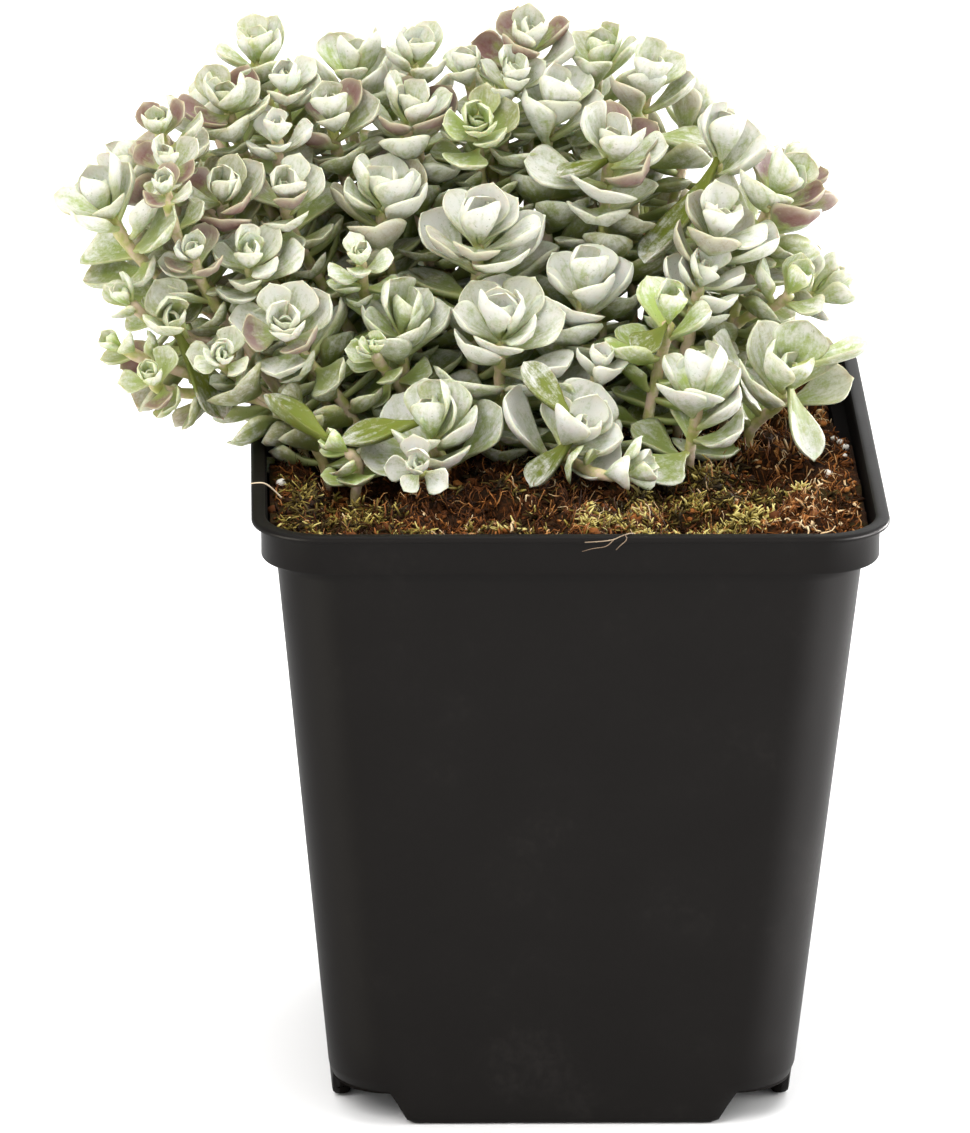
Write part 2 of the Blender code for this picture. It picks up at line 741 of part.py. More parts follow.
def place(room, owner, stem, wish):
    """Fits one leaf in: bent step by step, then shorter, or None where nothing is clear."""
    foot, axis, outward, tilt, length, half_width = wish
    side = np.cross(axis, outward)
    for shorter in SHRINKS:
        for bend, swing in itertools.product(BENDS, SWINGS):
            way = outward * math.cos(math.radians(swing)) + side * math.sin(math.radians(swing))
            steep = max(LEAST_TILT, tilt + bend)
            form = (foot, axis, way, steep, length * shorter, half_width * shorter)
            bare = leaf(*form, OWN_GAP, ROOT_SHARE)
            if not room.is_clear((stem,), *bare):
                continue
            if room.is_clear((owner, stem), *leaf(*form, LEAF_GAP)):
                return leaf(*form)
    return None


def main():
    for made in list(bpy.data.objects):
        bpy.data.objects.remove(made)
    parts = bpy.data.collections.new("potted_sedum")
    cutters = bpy.data.collections.new("cutters")
    pieces = bpy.data.collections.new("leaves_and_stems")
    for collection in (parts, cutters, pieces):
        bpy.context.scene.collection.children.link(collection)
    cutters.hide_render = True
    pieces.hide_render = True

    pot = make_pot(parts, cutters)
    feet = grow(pot, loft(soil_top_rings(), False), pieces)
    make_soil(parts, cutters, feet)
    green = material("bloomed_green", LEAF_COLOUR, 0.7)
    for stem in ROOTS:
        made = fuse(f"leafy_stem_{stem:02d}", pieces.children[f"pieces_{stem:02d}"], parts)
        made.data.materials.append(green)
    for helper in cutters.all_objects:
        helper.hide_render = True
        helper.display_type = "WIRE"
    for made in parts.objects:
        made.data.shade_smooth()
        made.data.set_sharp_from_angle(angle=math.radians(35.0))


main()
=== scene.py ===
# %% [markdown]
# # A potted stonecrop
# The real object is a low succulent in a square black nursery pot. Its stems come out of the
# soil one by one, lean outwards to the light, and each ends in one or more rosettes of thick,
# spoon-shaped leaves with a white waxy bloom. This lesson dresses a plain solid model of it:
# the solid says where everything is, and the cells below make the finer surfaces.

# %% Load the solid model
import itertools
import math
from collections import namedtuple

import bpy
import numpy as np
from mathutils.bvhtree import BVHTree
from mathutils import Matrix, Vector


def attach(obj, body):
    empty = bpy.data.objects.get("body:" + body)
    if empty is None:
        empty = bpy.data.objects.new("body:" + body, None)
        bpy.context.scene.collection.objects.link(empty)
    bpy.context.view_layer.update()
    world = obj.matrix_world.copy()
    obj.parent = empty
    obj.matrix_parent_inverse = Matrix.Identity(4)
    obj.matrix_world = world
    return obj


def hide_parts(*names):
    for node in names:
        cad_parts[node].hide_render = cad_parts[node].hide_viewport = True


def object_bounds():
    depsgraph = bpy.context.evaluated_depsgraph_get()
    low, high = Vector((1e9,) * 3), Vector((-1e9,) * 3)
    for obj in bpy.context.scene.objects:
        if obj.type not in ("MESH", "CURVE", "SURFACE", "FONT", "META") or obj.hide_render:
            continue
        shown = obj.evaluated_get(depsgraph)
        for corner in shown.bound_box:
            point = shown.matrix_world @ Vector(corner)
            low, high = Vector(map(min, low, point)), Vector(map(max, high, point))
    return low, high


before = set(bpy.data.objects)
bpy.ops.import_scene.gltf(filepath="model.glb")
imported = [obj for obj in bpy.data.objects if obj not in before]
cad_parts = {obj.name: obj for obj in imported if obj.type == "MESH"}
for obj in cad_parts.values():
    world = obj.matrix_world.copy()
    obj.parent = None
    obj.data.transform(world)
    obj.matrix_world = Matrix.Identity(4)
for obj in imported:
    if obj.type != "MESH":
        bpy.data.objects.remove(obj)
solid_box = [list(corner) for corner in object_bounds()]
MM = 0.001
print("solid model:", len(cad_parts), "nodes")

# %% [markdown]
# ## Camera
# A long lens from a good metre away keeps the pot's sides almost parallel, as in a catalogue
# picture. The camera looks down at about 20 degrees, and its place is written as a distance
# and two angles from a point in the middle of the plant.

# %% Place the camera
scene = bpy.context.scene
POT_CENTRE = np.array([13.5, -5.0, 0.0])
LOOK_AT = np.array([-11.0, 0.0, 73.8])
DISTANCE = 1328.5
LENS = 290.96
AZIMUTH, ELEVATION, ROLL = np.radians([-1.70, 19.53, 0.50])


def linked(name, data):
    """A new object in the scene."""
    made = bpy.data.objects.new(name, data)
    scene.collection.objects.link(made)
    return made


def stand(data, place, right, up, back):
    """A camera or a lamp at a place in metres, with these three axes."""
    made = linked(data.name, data)
    matrix = np.eye(4)
    matrix[:3] = np.column_stack([right, up, back, place])
    made.matrix_world = matrix.T.tolist()
    return made


level = np.array([np.cos(AZIMUTH), np.sin(AZIMUTH), 0.0])
back = np.array([
    np.sin(AZIMUTH) * np.cos(ELEVATION), -np.cos(AZIMUTH) * np.cos(ELEVATION), np.sin(ELEVATION)
])
above = np.cross(back, level)
right = np.cos(ROLL) * level + np.sin(ROLL) * above
up = np.cos(ROLL) * above - np.sin(ROLL) * level
data = bpy.data.cameras.new("camera")
data.sensor_fit = "VERTICAL"
data.sensor_height = 36.0
data.lens = LENS
data.clip_end = 10.0
scene.camera = stand(data, (LOOK_AT + POT_CENTRE + back * DISTANCE) * MM, right, up, back)
print("camera", [round(v, 3) for v in scene.camera.matrix_world.translation])

# %% [markdown]
# ## Shader arithmetic
# Procedural colours are sums of masks. Writing them as Python expressions keeps them short:
# the class below wraps one output of a node, and each operator adds a Math node. Every other
# node comes from the one method add, which sets the node's own settings first and then its
# inputs, as numbers or as links.

# %% Wrap sockets
class Value:
    """One output socket. +, - and * on it add Math nodes."""

    def __init__(self, paint, socket):
        self.paint, self.socket = paint, socket

    def math(self, operation, first, second, clamp=False):
        settings = {"operation": operation, "use_clamp": clamp}
        return self.paint.add("ShaderNodeMath", settings, {0: first, 1: second})

    def __add__(self, other):
        return self.math("ADD", self, other)

    def __sub__(self, other):
        return self.math("SUBTRACT", self, other)

    def __rsub__(self, other):
        return self.math("SUBTRACT", other, self)

    def __mul__(self, other):
        return self.math("MULTIPLY", self, other)

    __radd__, __rmul__ = __add__, __mul__

    def clamped(self):
        return self.math("ADD", self, 0.0, clamp=True)


class Paint:
    """A material and the nodes that lead to its Principled shader."""

    def __init__(self, name, roughness, **fixed):
        self.material = bpy.data.materials.new(name)
        self.material.use_nodes = True
        self.tree = self.material.node_tree
        self.set(Roughness=roughness, **fixed)

    def set(self, **values):
        """Links or sets the shader's inputs, with _ for the spaces in their names."""
        inputs = self.tree.nodes["Principled BSDF"].inputs
        for name, value in values.items():
            self.put(inputs[name.replace("_", " ")], value)

    def put(self, socket, value):
        if isinstance(value, Value):
            self.tree.links.new(value.socket, socket)
        else:
            colour = isinstance(value, tuple) and socket.type == "RGBA"
            socket.default_value = (*value, 1.0) if colour else value

    def add(self, kind, settings=None, inputs=None, output=0):
        """Any node: its settings, its inputs by name or number, and one of its outputs."""
        node = self.tree.nodes.new(kind)
        for key, value in (settings or {}).items():
            if key == "stops":
                ramp = node.color_ramp.elements
                while len(ramp) < len(value):
                    ramp.new(1.0)
                for element, (place, colour) in zip(ramp, value):
                    element.position, element.color = place, (*colour, 1.0)
            else:
                setattr(node, key, value)
        for key, value in (inputs or {}).items():
            self.put(node.inputs[key], value)
        return Value(self, node.outputs[output])

    def noise(self, size, detail=3.0, where=None, roughness=0.55):
        """Noise between 0 and 1. Its lumps are about this size: millimetres, or units of where."""
        place = where or self.add("ShaderNodeTexCoord", output="Object")
        scale = 1.0 / size if where else 1.0 / (size * MM)
        inputs = {"Vector": place, "Scale": scale, "Detail": detail, "Roughness": roughness}
        return self.add("ShaderNodeTexNoise", inputs=inputs)

    def mix(self, factor, first, second):
        """A colour between two colours."""
        settings = {"data_type": "RGBA", "clamp_factor": True}
        return self.add("ShaderNodeMix", settings, {0: factor, 6: first, 7: second}, output=2)

    def step(self, value, low, high):
        """0 below low and 1 above high, with a smooth rise between."""
        inputs = {"Value": value, "From Min": low, "From Max": high}
        return self.add("ShaderNodeMapRange", {"interpolation_type": "SMOOTHSTEP"}, inputs)

    def layer(self, name):
        """The three numbers that the mesh stores under a name."""
        vector = self.add("ShaderNodeAttribute", {"attribute_name": name}, output="Vector")
        split = self.add("ShaderNodeSeparateXYZ", inputs={0: vector})
        return [Value(self, socket) for socket in split.socket.node.outputs]

    def bump(self, height, depth, strength):
        """A normal for the shader from a height between 0 and 1, this many millimetres deep."""
        inputs = {"Height": height, "Distance": depth * MM, "Strength": strength}
        self.set(Normal=self.add("ShaderNodeBump", inputs=inputs))


print("shader helpers ready")

# %% [markdown]
# ## Floor and light
# A white floor under a wide soft light from above, a broad softbox at the right and a pale
# world around it. Broad lights give the soft shadows of a studio picture, and their outlines
# are what a satin pot shows along its corners.

# %% Make the floor and the lights
scene.view_settings.view_transform = "Standard"


def unit(vector):
    """The same direction with length 1."""
    return vector / np.linalg.norm(vector, axis=-1, keepdims=True)


def object_of(name, points, faces):
    """An object from millimetres off the pot's middle."""
    mesh = bpy.data.meshes.new(name)
    mesh.from_pydata(((points + POT_CENTRE) * MM).tolist(), [], faces)
    return linked(name, mesh)


# Each lamp's place, the height that it aims at, its width and height, all in metres, its watts,
# its colour, and whether only shine shows it
LAMPS = {
    "key_light": ((-0.9, -1.1, 1.6), 0.08, (1.2, 1.2), 24.5, (1.0, 0.98, 0.96), False),
    "top_light": ((0.2, 0.3, 1.7), 0.05, (1.6, 1.6), 27.0, (1.0, 1.0, 1.0), False),
    "side_light": ((1.3, -0.1, 0.45), 0.06, (0.5, 1.1), 9.0, (1.0, 1.0, 0.98), False),
    "sheen_light": ((1.0, 0.6, 0.15), 0.0, (0.6, 0.29), 75.0, (1.0, 0.97, 0.95), True),
    "broad_sheen": ((1.05, -0.5, 0.15), 0.0, (0.7, 0.29), 140.0, (1.0, 0.97, 0.95), True),
    "left_sheen": ((-0.95, -0.75, 0.15), 0.0, (0.7, 0.29), 60.0, (1.0, 0.95, 0.82), True),
    "lip_light": ((0.5, 1.8, 0.75), 0.09, (1.2, 0.3), 7.0, (1.0, 1.0, 1.0), True),
}
for name, (place, aim, size, power, colour, only_shine) in LAMPS.items():
    data = bpy.data.lights.new(name, "AREA")
    data.shape = "RECTANGLE"
    data.size, data.size_y = size
    data.energy, data.color = power, colour
    back = unit(np.array(place) - (0.0, 0.0, aim))
    right = unit(np.cross((0.0, 0.0, 1.0), back))
    stand(data, place, right, np.cross(back, right), back).visible_diffuse = not only_shine

world = bpy.data.worlds.new("studio")
world.use_nodes = True
sky = world.node_tree.nodes["Background"].inputs
sky["Color"].default_value = (1.0, 1.0, 1.0, 1.0)
sky["Strength"].default_value = 0.97
scene.world = world

FLOOR_HALF = 6000.0
corners = np.array([(-1, -1, 0), (1, -1, 0), (1, 1, 0), (-1, 1, 0)]) * FLOOR_HALF
floor = object_of("floor", corners - POT_CENTRE, [(0, 1, 2, 3)])
floor_paint = Paint("floor_white", 0.9, Base_Color=(0.93, 0.93, 0.93), Specular_IOR_Level=0.1)
floor.data.materials.append(floor_paint.material)
print("stage ready")

# %% [markdown]
# ## Where the leaves are
# The solid model was grown by a rule: a table says where each stem stands and where each
# rosette's crown is, and each leaf in turn takes the first bend that keeps it clear of what is
# already there. The same rule runs again here, so that each fine leaf stands where its plain
# solid does. All the lengths are millimetres from the middle of the pot.

# %% The plant's tables
Head = namedtuple("Head", "stem x y z right front reach leaves spread turn white fresh blush")
Single = namedtuple("Single", "stem along x y z half_width kind")

# Where each stem stands, by its number
ROOTS = dict(enumerate((
    (-17, -8), (-30, -11), (-2, -8), (18, -7), (27, 3), (12, 0), (17, 7), (-9, 2), (2, 7),
    (-22, 3), (-28, 0), (-34, -4), (-32, 6), (-37, 1), (-25, 9), (-13, 9), (-19, 13), (-36, 11),
    (-31, 14), (-26, 16), (-31, 21), (-25, 25), (-21, 19), (-19, 29), (-14, 18), (-13, 25),
    (-8, 14), (-6, 21), (-4, 29), (0, 17), (5, 28), (6, 13), (11, 22), (16, 17), (24, 13),
    (18, 12), (-33, 28), (-27, 34), (-17, 36), (-8, 36), (3, 35), (13, 31), (22, 24),
), 1))

# Stem, crown, lean to the right and to the front in degrees, length of the outer leaves, how
# many, the outermost one's angle off the axis, where the spiral starts, then how white with
# bloom, how fresh green and how purple the leaves are, from 0 to 9
HEAD_ROWS = """
1 -19 -10 96 -5 25 14 10 55 200 5 3 0
1 -21 -22 96 -5 50 7 6 58 30 8 5 0
2 -31 -14 96 -50 20 7 3 47 90 2 8 0
3 0 -12 96 28 28 14 9 51 20 7 3 0
3 8 -20 95 60 30 8 5 43 80 6 5 0
3 5 -3 105 5 30 7 6 47 130 8 2 0
4 19 -10 102 3 15 12 7 35 160 6 4 0
5 32 0 100 10 25 15 11 56 10 5 3 1
6 15 -1 111 5 25 10 7 47 60 3 9 0
7 20 8 114 12 30 10 7 47 0 7 4 0
8 -9 0 108 2 28 14 10 53 150 7 2 1
9 3 8 112 5 20 12 7 43 80 7 3 0
10 -23 4 107 0 22 12 8 39 300 4 1 0
10 -27 -2 107 -5 40 6 5 47 0 3 6 0
11 -40 0 110 0 55 11 9 55 90 6 2 3
12 -56 1 110 -5 55 12 10 55 40 4 1 6
12 -49 -5 107 0 55 7 6 51 10 6 5 1
12 -59 -6 104 -15 45 7 5 55 100 3 5 3
12 -63 -3 108 -50 30 6 4 47 0 3 6 1
13 -45 7 117 0 35 10 8 55 60 6 4 1
14 -53 4 119 -5 35 8 6 47 0 7 2 3
14 -62 2 113 -30 25 7 5 47 180 4 6 0
15 -29 6 118 0 40 7 6 47 50 5 6 0
16 -12 11 119 2 27 14 10 53 220 7 1 2
17 -26 18 122 0 20 13 8 43 100 6 3 2
18 -65 6 125 -20 15 12 7 55 170 6 5 1
18 -57 1 130 -5 40 7 6 51 20 6 2 5
18 -57 8 132 -5 40 8 6 47 90 6 2 4
19 -58 14 135 -8 35 8 6 47 170 5 3 5
19 -49 12 125 0 35 11 7 47 90 5 1 7
20 -40 14 125 0 38 10 7 51 90 6 2 3
21 -48 24 135 -10 35 11 8 47 120 5 2 6
21 -41 20 132 0 30 8 6 43 60 8 3 0
22 -44 34 140 -8 20 10 6 43 110 5 6 1
22 -40 28 137 3 35 10 7 47 60 7 4 1
23 -33 26 133 -3 30 10 7 47 60 6 1 6
24 -30 38 135 5 12 12 7 39 150 5 5 0
25 -22 27 132 3 20 12 8 43 100 6 3 3
26 -21 35 139 8 25 10 6 47 0 6 3 3
27 -12 24 133 0 55 10 9 51 90 2 4 1
28 -7 30 138 10 30 8 6 47 80 6 3 1
28 -13 32 138 -10 25 8 5 47 180 6 4 1
29 -4 36 141 0 28 11 7 51 30 6 3 4
30 -1 29 133 10 20 12 7 39 60 7 3 1
31 6 37 137 3 15 11 6 39 160 4 4 1
32 7 20 129 3 30 14 11 53 100 7 1 3
33 13 32 136 8 22 11 7 47 60 6 3 2
34 23 22 128 5 20 13 8 45 100 7 3 0
35 31 17 124 25 25 12 8 51 0 5 4 4
35 33 10 112 25 30 9 5 40 30 3 6 0
36 22 11 120 15 25 13 9 47 60 7 3 2
37 -50 36 129 -25 -15 11 7 51 0 5 3 4
37 -60 24 124 -35 -5 11 6 51 90 6 3 3
38 -38 46 127 -10 -30 11 7 51 30 6 2 2
38 -45 40 114 -30 -40 10 5 51 60 4 4 2
38 -32 45 106 -10 -55 10 5 51 0 4 5 0
39 -22 46 131 -3 -30 11 7 51 80 6 3 1
40 -8 47 133 0 -25 11 7 51 40 7 2 3
40 -15 47 115 -5 -45 11 6 51 10 4 4 1
41 6 45 130 5 -30 11 7 51 70 6 3 1
41 14 44 113 15 -45 11 6 51 0 4 4 2
41 1 45 103 0 -55 10 5 51 40 4 5 0
42 20 41 127 15 -25 11 7 51 20 6 2 2
42 25 39 103 15 -50 10 5 51 80 4 5 0
43 33 31 121 30 -10 11 7 51 50 6 3 3
43 37 22 108 45 -5 10 5 51 100 5 4 1
"""
HEADS = [Head(*map(int, row.split())) for row in HEAD_ROWS.strip().splitlines()]

# Single leaves lower on a stem: how far along it, the tip's place, half the width and whether
# the bloom is rubbed off; those leaves are also painted dark olive, as shade low in the plant
SINGLES = [Single(*row) for row in (
    (1, 0.9, -32, -12, 97, 4, "worn"), (3, 0.8, -5, -17, 92, 3, "worn"),
    (3, 0.9, -6, -9, 108, 3, "worn"), (5, 0.8, 36, -6, 92, 3, "pale"),
    (5, 0.8, 23, -2, 95, 4, "pale"), (12, 0.7, -49, -4, 98, 4, "worn"),
    (6, 0.7, 10, -5, 108, 3, "worn"), (32, 0.7, 0, 16, 128, 4, "worn"),
    (5, 0.9, 44, -1, 108, 3, "pale"), (5, 0.95, 42, 6, 109, 4, "pale"),
    (2, 0.85, -43, -9, 103, 4, "worn"), (34, 0.75, 12, 12, 116, 4, "worn"),
)]
print(len(ROOTS), "stems,", len(HEADS), "rosettes")

# %% Shapes of the pot and the soil
WALL = 0.9
BAND_BOTTOM = 87.5
BODY_TOP_HALF = 41.5
BODY_FOOT_HALF = 33.6
BODY_CORNER = 9.5
FLOOR_UNDER = 4.9
CLEAR = 0.3
SOIL_LEVEL = 90.0


def smooth(value):
    """Rises from 0 to 1 with no slope at either end."""
    value = np.clip(value, 0.0, 1.0)
    return value * value * (3.0 - 2.0 * value)


def rounded_square(half, corner, height, steps):
    """A ring round a square with rounded corners: four quarter circles joined by straight sides."""
    quarter = np.repeat(np.arange(4), steps + 1)
    angle = np.radians(90.0 * (quarter + np.tile(np.arange(steps + 1) / steps, 4)))
    middle = np.radians(90.0 * quarter + 45.0)
    across = np.sign(np.cos(middle)) * (half - corner) + corner * np.cos(angle)
    along = np.sign(np.sin(middle)) * (half - corner) + corner * np.sin(angle)
    return np.column_stack([across, along, np.full(len(angle), height)])


def body_half(height):
    """Half the pot's outer width below the band, which grows evenly from foot to top."""
    share = (height - FLOOR_UNDER) / (BAND_BOTTOM - FLOOR_UNDER)
    return BODY_FOOT_HALF + (BODY_TOP_HALF - BODY_FOOT_HALF) * share


def soil_height(x, y):
    """Level in front and in the middle, sunk at the left and by the right wall, with humps."""
    left = 4.0 * smooth((-x - 10.0) / 28.0) * smooth((y + 36.0) / 30.0)
    right = 1.2 * smooth((x - 32.0) / 7.0) * smooth((y + 30.0) / 20.0)
    humps = 0.7 * np.sin(0.21 * x + 1.3) * np.sin(0.17 * y + 0.5)
    lumps = 0.4 * np.sin(0.47 * x) * np.cos(0.53 * y + 1.0)
    return SOIL_LEVEL - left - right + humps + lumps


def ring_faces(rings, size):
    """Quads between rings of this many points."""
    level = np.arange(rings - 1)[:, None] * size
    first = np.arange(size)
    second = (first + 1) % size
    quads = [level + first, level + second, level + size + second, level + size + first]
    return np.stack(quads, -1).reshape(-1, 4)


print("pot and soil shapes ready")

# %% Stems and plain leaves, as in the solid model
# Millimetres, degrees, and shares of a leaf's or a stem's length
HOLE_DEPTH = 8.0
COLLAR_RISE = 1.5
STEM_RADIUS = 1.15
SIDE_RADIUS = 1.0
STEM_TIP_RADIUS = 1.3
STEM_POINTS = 3
BUD = ((0.28, 0.2), (0.52, 0.04))
GOLDEN_TURN = 137.5
LEAF_THICK = 1.5
LEAF_GAP = 0.3
OWN_GAP = 0.05
LEAF_STEPS = 50
LEAF_CURL = 26.0
LEAF_HALF_SHARE = 0.345
INNER_TILT = 18.0
INNER_SHARE = 0.66
UNEVEN_LENGTH = 0.11
UNEVEN_TILT = 7.0
LONG_STATIONS = (0.5, 0.88)
SHORT_STATIONS = (0.7,)
SHORT_LEAF = 9.2
LEAF_FOOT = 0.14
WIDEST = 0.68
OUTER_FOOT = 0.42
ROOT_SHARE = 0.16
SHRINKS = (1.0, 0.88, 0.76)
BENDS = (0, 8, -8, 16, -16, 24, -24, -34)
SWINGS = (0, 15, -15)
LEAST_TILT = 10.0
FORK_POINT = 2


def spot_of(row):
    """The place in a table row."""
    return np.array([row.x, row.y, row.z], dtype=float)


def axis_of(head):
    """The way a rosette faces, from its lean to the right and to the front."""
    lean = np.tan(np.radians([head.right, head.front]))
    return unit(np.array([lean[0], -lean[1], 1.0]))


def stem_curve(start, up, head, bow, count):
    """A cubic curve that leaves along up and arrives along the rosette's own axis."""
    crown = spot_of(head)
    far = np.linalg.norm(crown - start)
    leave = start + up * far * 0.38 + bow
    arrive = crown - axis_of(head) * far * 0.35 + bow
    t = (np.arange(count) + 1.0)[:, None] / count
    rest = 1.0 - t
    return rest**3 * start + 3 * rest**2 * t * leave + 3 * rest * t**2 * arrive + t**3 * crown


def shape_in(mesh):
    """The points and the faces of a mesh."""
    points = np.array([vertex.co for vertex in mesh.vertices]) / MM - POT_CENTRE
    return points, [tuple(face.vertices) for face in mesh.polygons]


def tube(path, radii):
    """The points and faces of a plain four-sided stem."""
    curve = bpy.data.curves.new("stem_guide", "CURVE")
    curve.dimensions = "3D"
    curve.bevel_depth = MM
    curve.bevel_resolution = 0
    curve.use_fill_caps = True
    spline = curve.splines.new("POLY")
    spline.points.add(len(path) - 1)
    for point, spot, radius in zip(spline.points, path, radii):
        point.co = (*((spot + POT_CENTRE) * MM), 1.0)
        point.radius = radius
    guide = linked("stem_guide", curve)
    graph = bpy.context.evaluated_depsgraph_get()
    shape = shape_in(guide.evaluated_get(graph).to_mesh())
    bpy.data.objects.remove(guide)
    bpy.data.curves.remove(curve)
    return shape


class Room:
    """What already stands in the plant, to keep each new leaf clear of it."""

    def __init__(self):
        self.owners = []
        self.trees = []
        self.balls = np.zeros((0, 4))

    @staticmethod
    def ball(points):
        """The middle of some points and how far they reach from it."""
        middle = points.mean(axis=0)
        return np.append(middle, np.linalg.norm(points - middle, axis=1).max())

    def add(self, owner, points, faces):
        points = np.asarray(points)
        self.owners.append(owner)
        self.trees.append(BVHTree.FromPolygons(points.tolist(), faces))
        self.balls = np.vstack([self.balls, self.ball(points)])

    def is_clear(self, friends, points, faces):
        """True where the shape crosses nothing but what its friends own."""
        ball = self.ball(points)
        apart = np.linalg.norm(self.balls[:, :3] - ball[:3], axis=1)
        tree = None
        for k in np.nonzero(apart <= self.balls[:, 3] + ball[3])[0]:
            if self.owners[k] in friends:
                continue
            tree = tree or BVHTree.FromPolygons(points.tolist(), faces)
            if tree.overlap(self.trees[k]):
                return False
        return True


def leaf_line(foot, axis, outward, tilt, length, curl=LEAF_CURL):
    """The middle line of a leaf: it leaves more steeply than tilt and turns back by curl."""
    fine = (np.arange(LEAF_STEPS) + 0.5) / LEAF_STEPS
    turn = np.radians(tilt + curl * (0.5 - fine))
    steps = np.outer(np.sin(turn), outward) + np.outer(np.cos(turn), axis)
    return foot + np.vstack([np.zeros(3), np.cumsum(steps, axis=0)]) * length / LEAF_STEPS


def plain_leaf(foot, axis, outward, tilt, length, half_width, spare=0.0, start=0.0):
    """The solid model's leaf: three-cornered sections and a point."""
    line = leaf_line(foot, axis, outward, tilt, length + spare)
    side = np.cross(axis, outward)
    stations = (start, *(LONG_STATIONS if length > SHORT_LEAF else SHORT_STATIONS))
    points = []
    for along in stations:
        angle = math.radians(tilt + LEAF_CURL * (0.5 - along))
        inward = axis * math.sin(angle) - outward * math.cos(angle)
        middle = line[int(round(along * LEAF_STEPS))]
        swell = LEAF_FOOT + (1.0 - LEAF_FOOT) * float(smooth(along / WIDEST))
        if along >= WIDEST:
            swell = math.sqrt(max(0.0, 1.0 - ((along - WIDEST) / 0.34) ** 2))
        half = half_width * swell + spare
        body = LEAF_THICK * (0.75 + 0.5 * math.sin(math.pi * along)) * 0.5 + spare
        points += [middle + side * half + inward * body, middle - side * half + inward * body]
        points.append(middle - inward * body)
    faces = [(0, 1, 2)]
    last = 3 * (len(stations) - 1)
    for a in range(0, last, 3):
        b = a + 3
        faces += [(a, b, a + 1), (a + 1, b, b + 1), (a + 1, b + 1, b + 2), (a + 1, b + 2, a + 2)]
        faces += [(a, a + 2, b + 2), (a, b + 2, b)]
    points.append(line[-1] + inward * LEAF_THICK * 0.2)
    faces += [(last + k, last + 3, last + (k + 1) % 3) for k in range(3)]
    return np.array(points), faces


print("growth shapes ready")

# %% Grow the plant
Leaf = namedtuple("Leaf", "head foot axis outward tilt length half_width age kind")
Branch = namedtuple("Branch", "head path line radius")
room = Room()
room.add("pot", *shape_in(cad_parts["pot"].data))

soil_edge = body_half(86.0) - WALL - CLEAR
soil_corner = BODY_CORNER - WALL - CLEAR
soil_rings = []
for share in (1.0, 0.74, 0.46, 0.18):
    ring = rounded_square(soil_edge * share, soil_corner * share, 0.0, 3)
    ring[:, 2] = soil_height(ring[:, 0], ring[:, 1])
    soil_rings.append(ring)
room.add("soil", np.vstack(soil_rings), ring_faces(4, 16).tolist())


def bows():
    """Sideways bends to try on a stem, from none outwards."""
    yield np.zeros(3)
    for size in (1.5, 3.0, 4.5, 6.0):
        for turn in range(8):
            angle = math.radians(45.0 * turn)
            yield np.array([size * math.cos(angle), size * math.sin(angle), 0.0])


def fitted_stem(head, start, up, lead, radius):
    """The stem to a rosette, on the first bow that keeps it clear of the others."""
    axis = axis_of(head)
    bud = [spot_of(head) + axis * head.reach * share for share, _ in BUD]
    for bow in bows():
        path = np.vstack([lead, stem_curve(start, up, head, bow, STEM_POINTS), bud])
        widths = np.linspace(radius, STEM_TIP_RADIUS, len(path) - len(BUD))
        widths = np.append(widths, [head.reach * wide for _, wide in BUD])
        shape = tube(path, widths)
        if room.is_clear((head.stem, "soil"), *shape):
            break
    room.add(head.stem, *shape)
    return Branch(head, path, np.vstack([lead, stem_curve(start, up, head, bow, 16)]), radius)


UPRIGHT = np.array([0.0, 0.0, 1.0])
branches, trunks = {}, {}
for stem, (x, y) in ROOTS.items():
    ground = float(soil_height(x, y))
    foot = np.array([x, y, ground - HOLE_DEPTH])
    collar = np.array([x, y, ground + COLLAR_RISE])
    own = [head for head in HEADS if head.stem == stem]
    trunk = fitted_stem(own[0], collar, UPRIGHT, [foot, collar], STEM_RADIUS)
    trunks[stem] = branches[own[0]] = trunk
    fork = trunk.path[FORK_POINT]
    onward = unit(trunk.path[FORK_POINT + 1] - fork)
    for head in own[1:]:
        branches[head] = fitted_stem(head, fork, onward, [fork], SIDE_RADIUS)
print(len(branches), "stems and side stems")


# %% Place the leaves of the solid model
ASIDE = (0.31, 0.95, 0.05)


def uneven(head, rank, shift):
    """A number between -1 and 1 that looks random and is the same each time."""
    return math.sin(head.turn * 1.7 + head.x * 3.1 + rank * 2.4 + shift)


def across(axis, turn):
    """A direction square to the axis, turned about it."""
    first = unit(np.cross(axis, ASIDE))
    angle = math.radians(turn)
    return first * math.cos(angle) + np.cross(axis, first) * math.sin(angle)


def back_along(path, distance):
    """The point this far down a stem from its last point, and the way up there."""
    for k in range(len(path) - 1, 0, -1):
        piece = path[k] - path[k - 1]
        long = float(np.linalg.norm(piece))
        if distance <= long or k == 1:
            return path[k] - piece * min(1.0, distance / long), piece / long
        distance -= long


def settle(leaf, friends, gap, shrinks=SHRINKS):
    """Puts a leaf where there is room: bent step by step, then shorter, or left out."""
    side = np.cross(leaf.axis, leaf.outward)
    stem = leaf.head.stem
    for shorter, bend, swing in itertools.product(shrinks, BENDS, SWINGS):
        angle = math.radians(swing)
        way = leaf.outward * math.cos(angle) + side * math.sin(angle)
        steep = max(LEAST_TILT, leaf.tilt + bend)
        form = (leaf.foot, leaf.axis, way, steep)
        form += (leaf.length * shorter, leaf.half_width * shorter)
        if not room.is_clear((stem,), *plain_leaf(*form, OWN_GAP, ROOT_SHARE)):
            continue
        if room.is_clear((friends, stem), *plain_leaf(*form, gap)):
            room.add(friends, *plain_leaf(*form))
            leaves.append(Leaf(leaf.head, *form, leaf.age, leaf.kind))
            return True
    return False


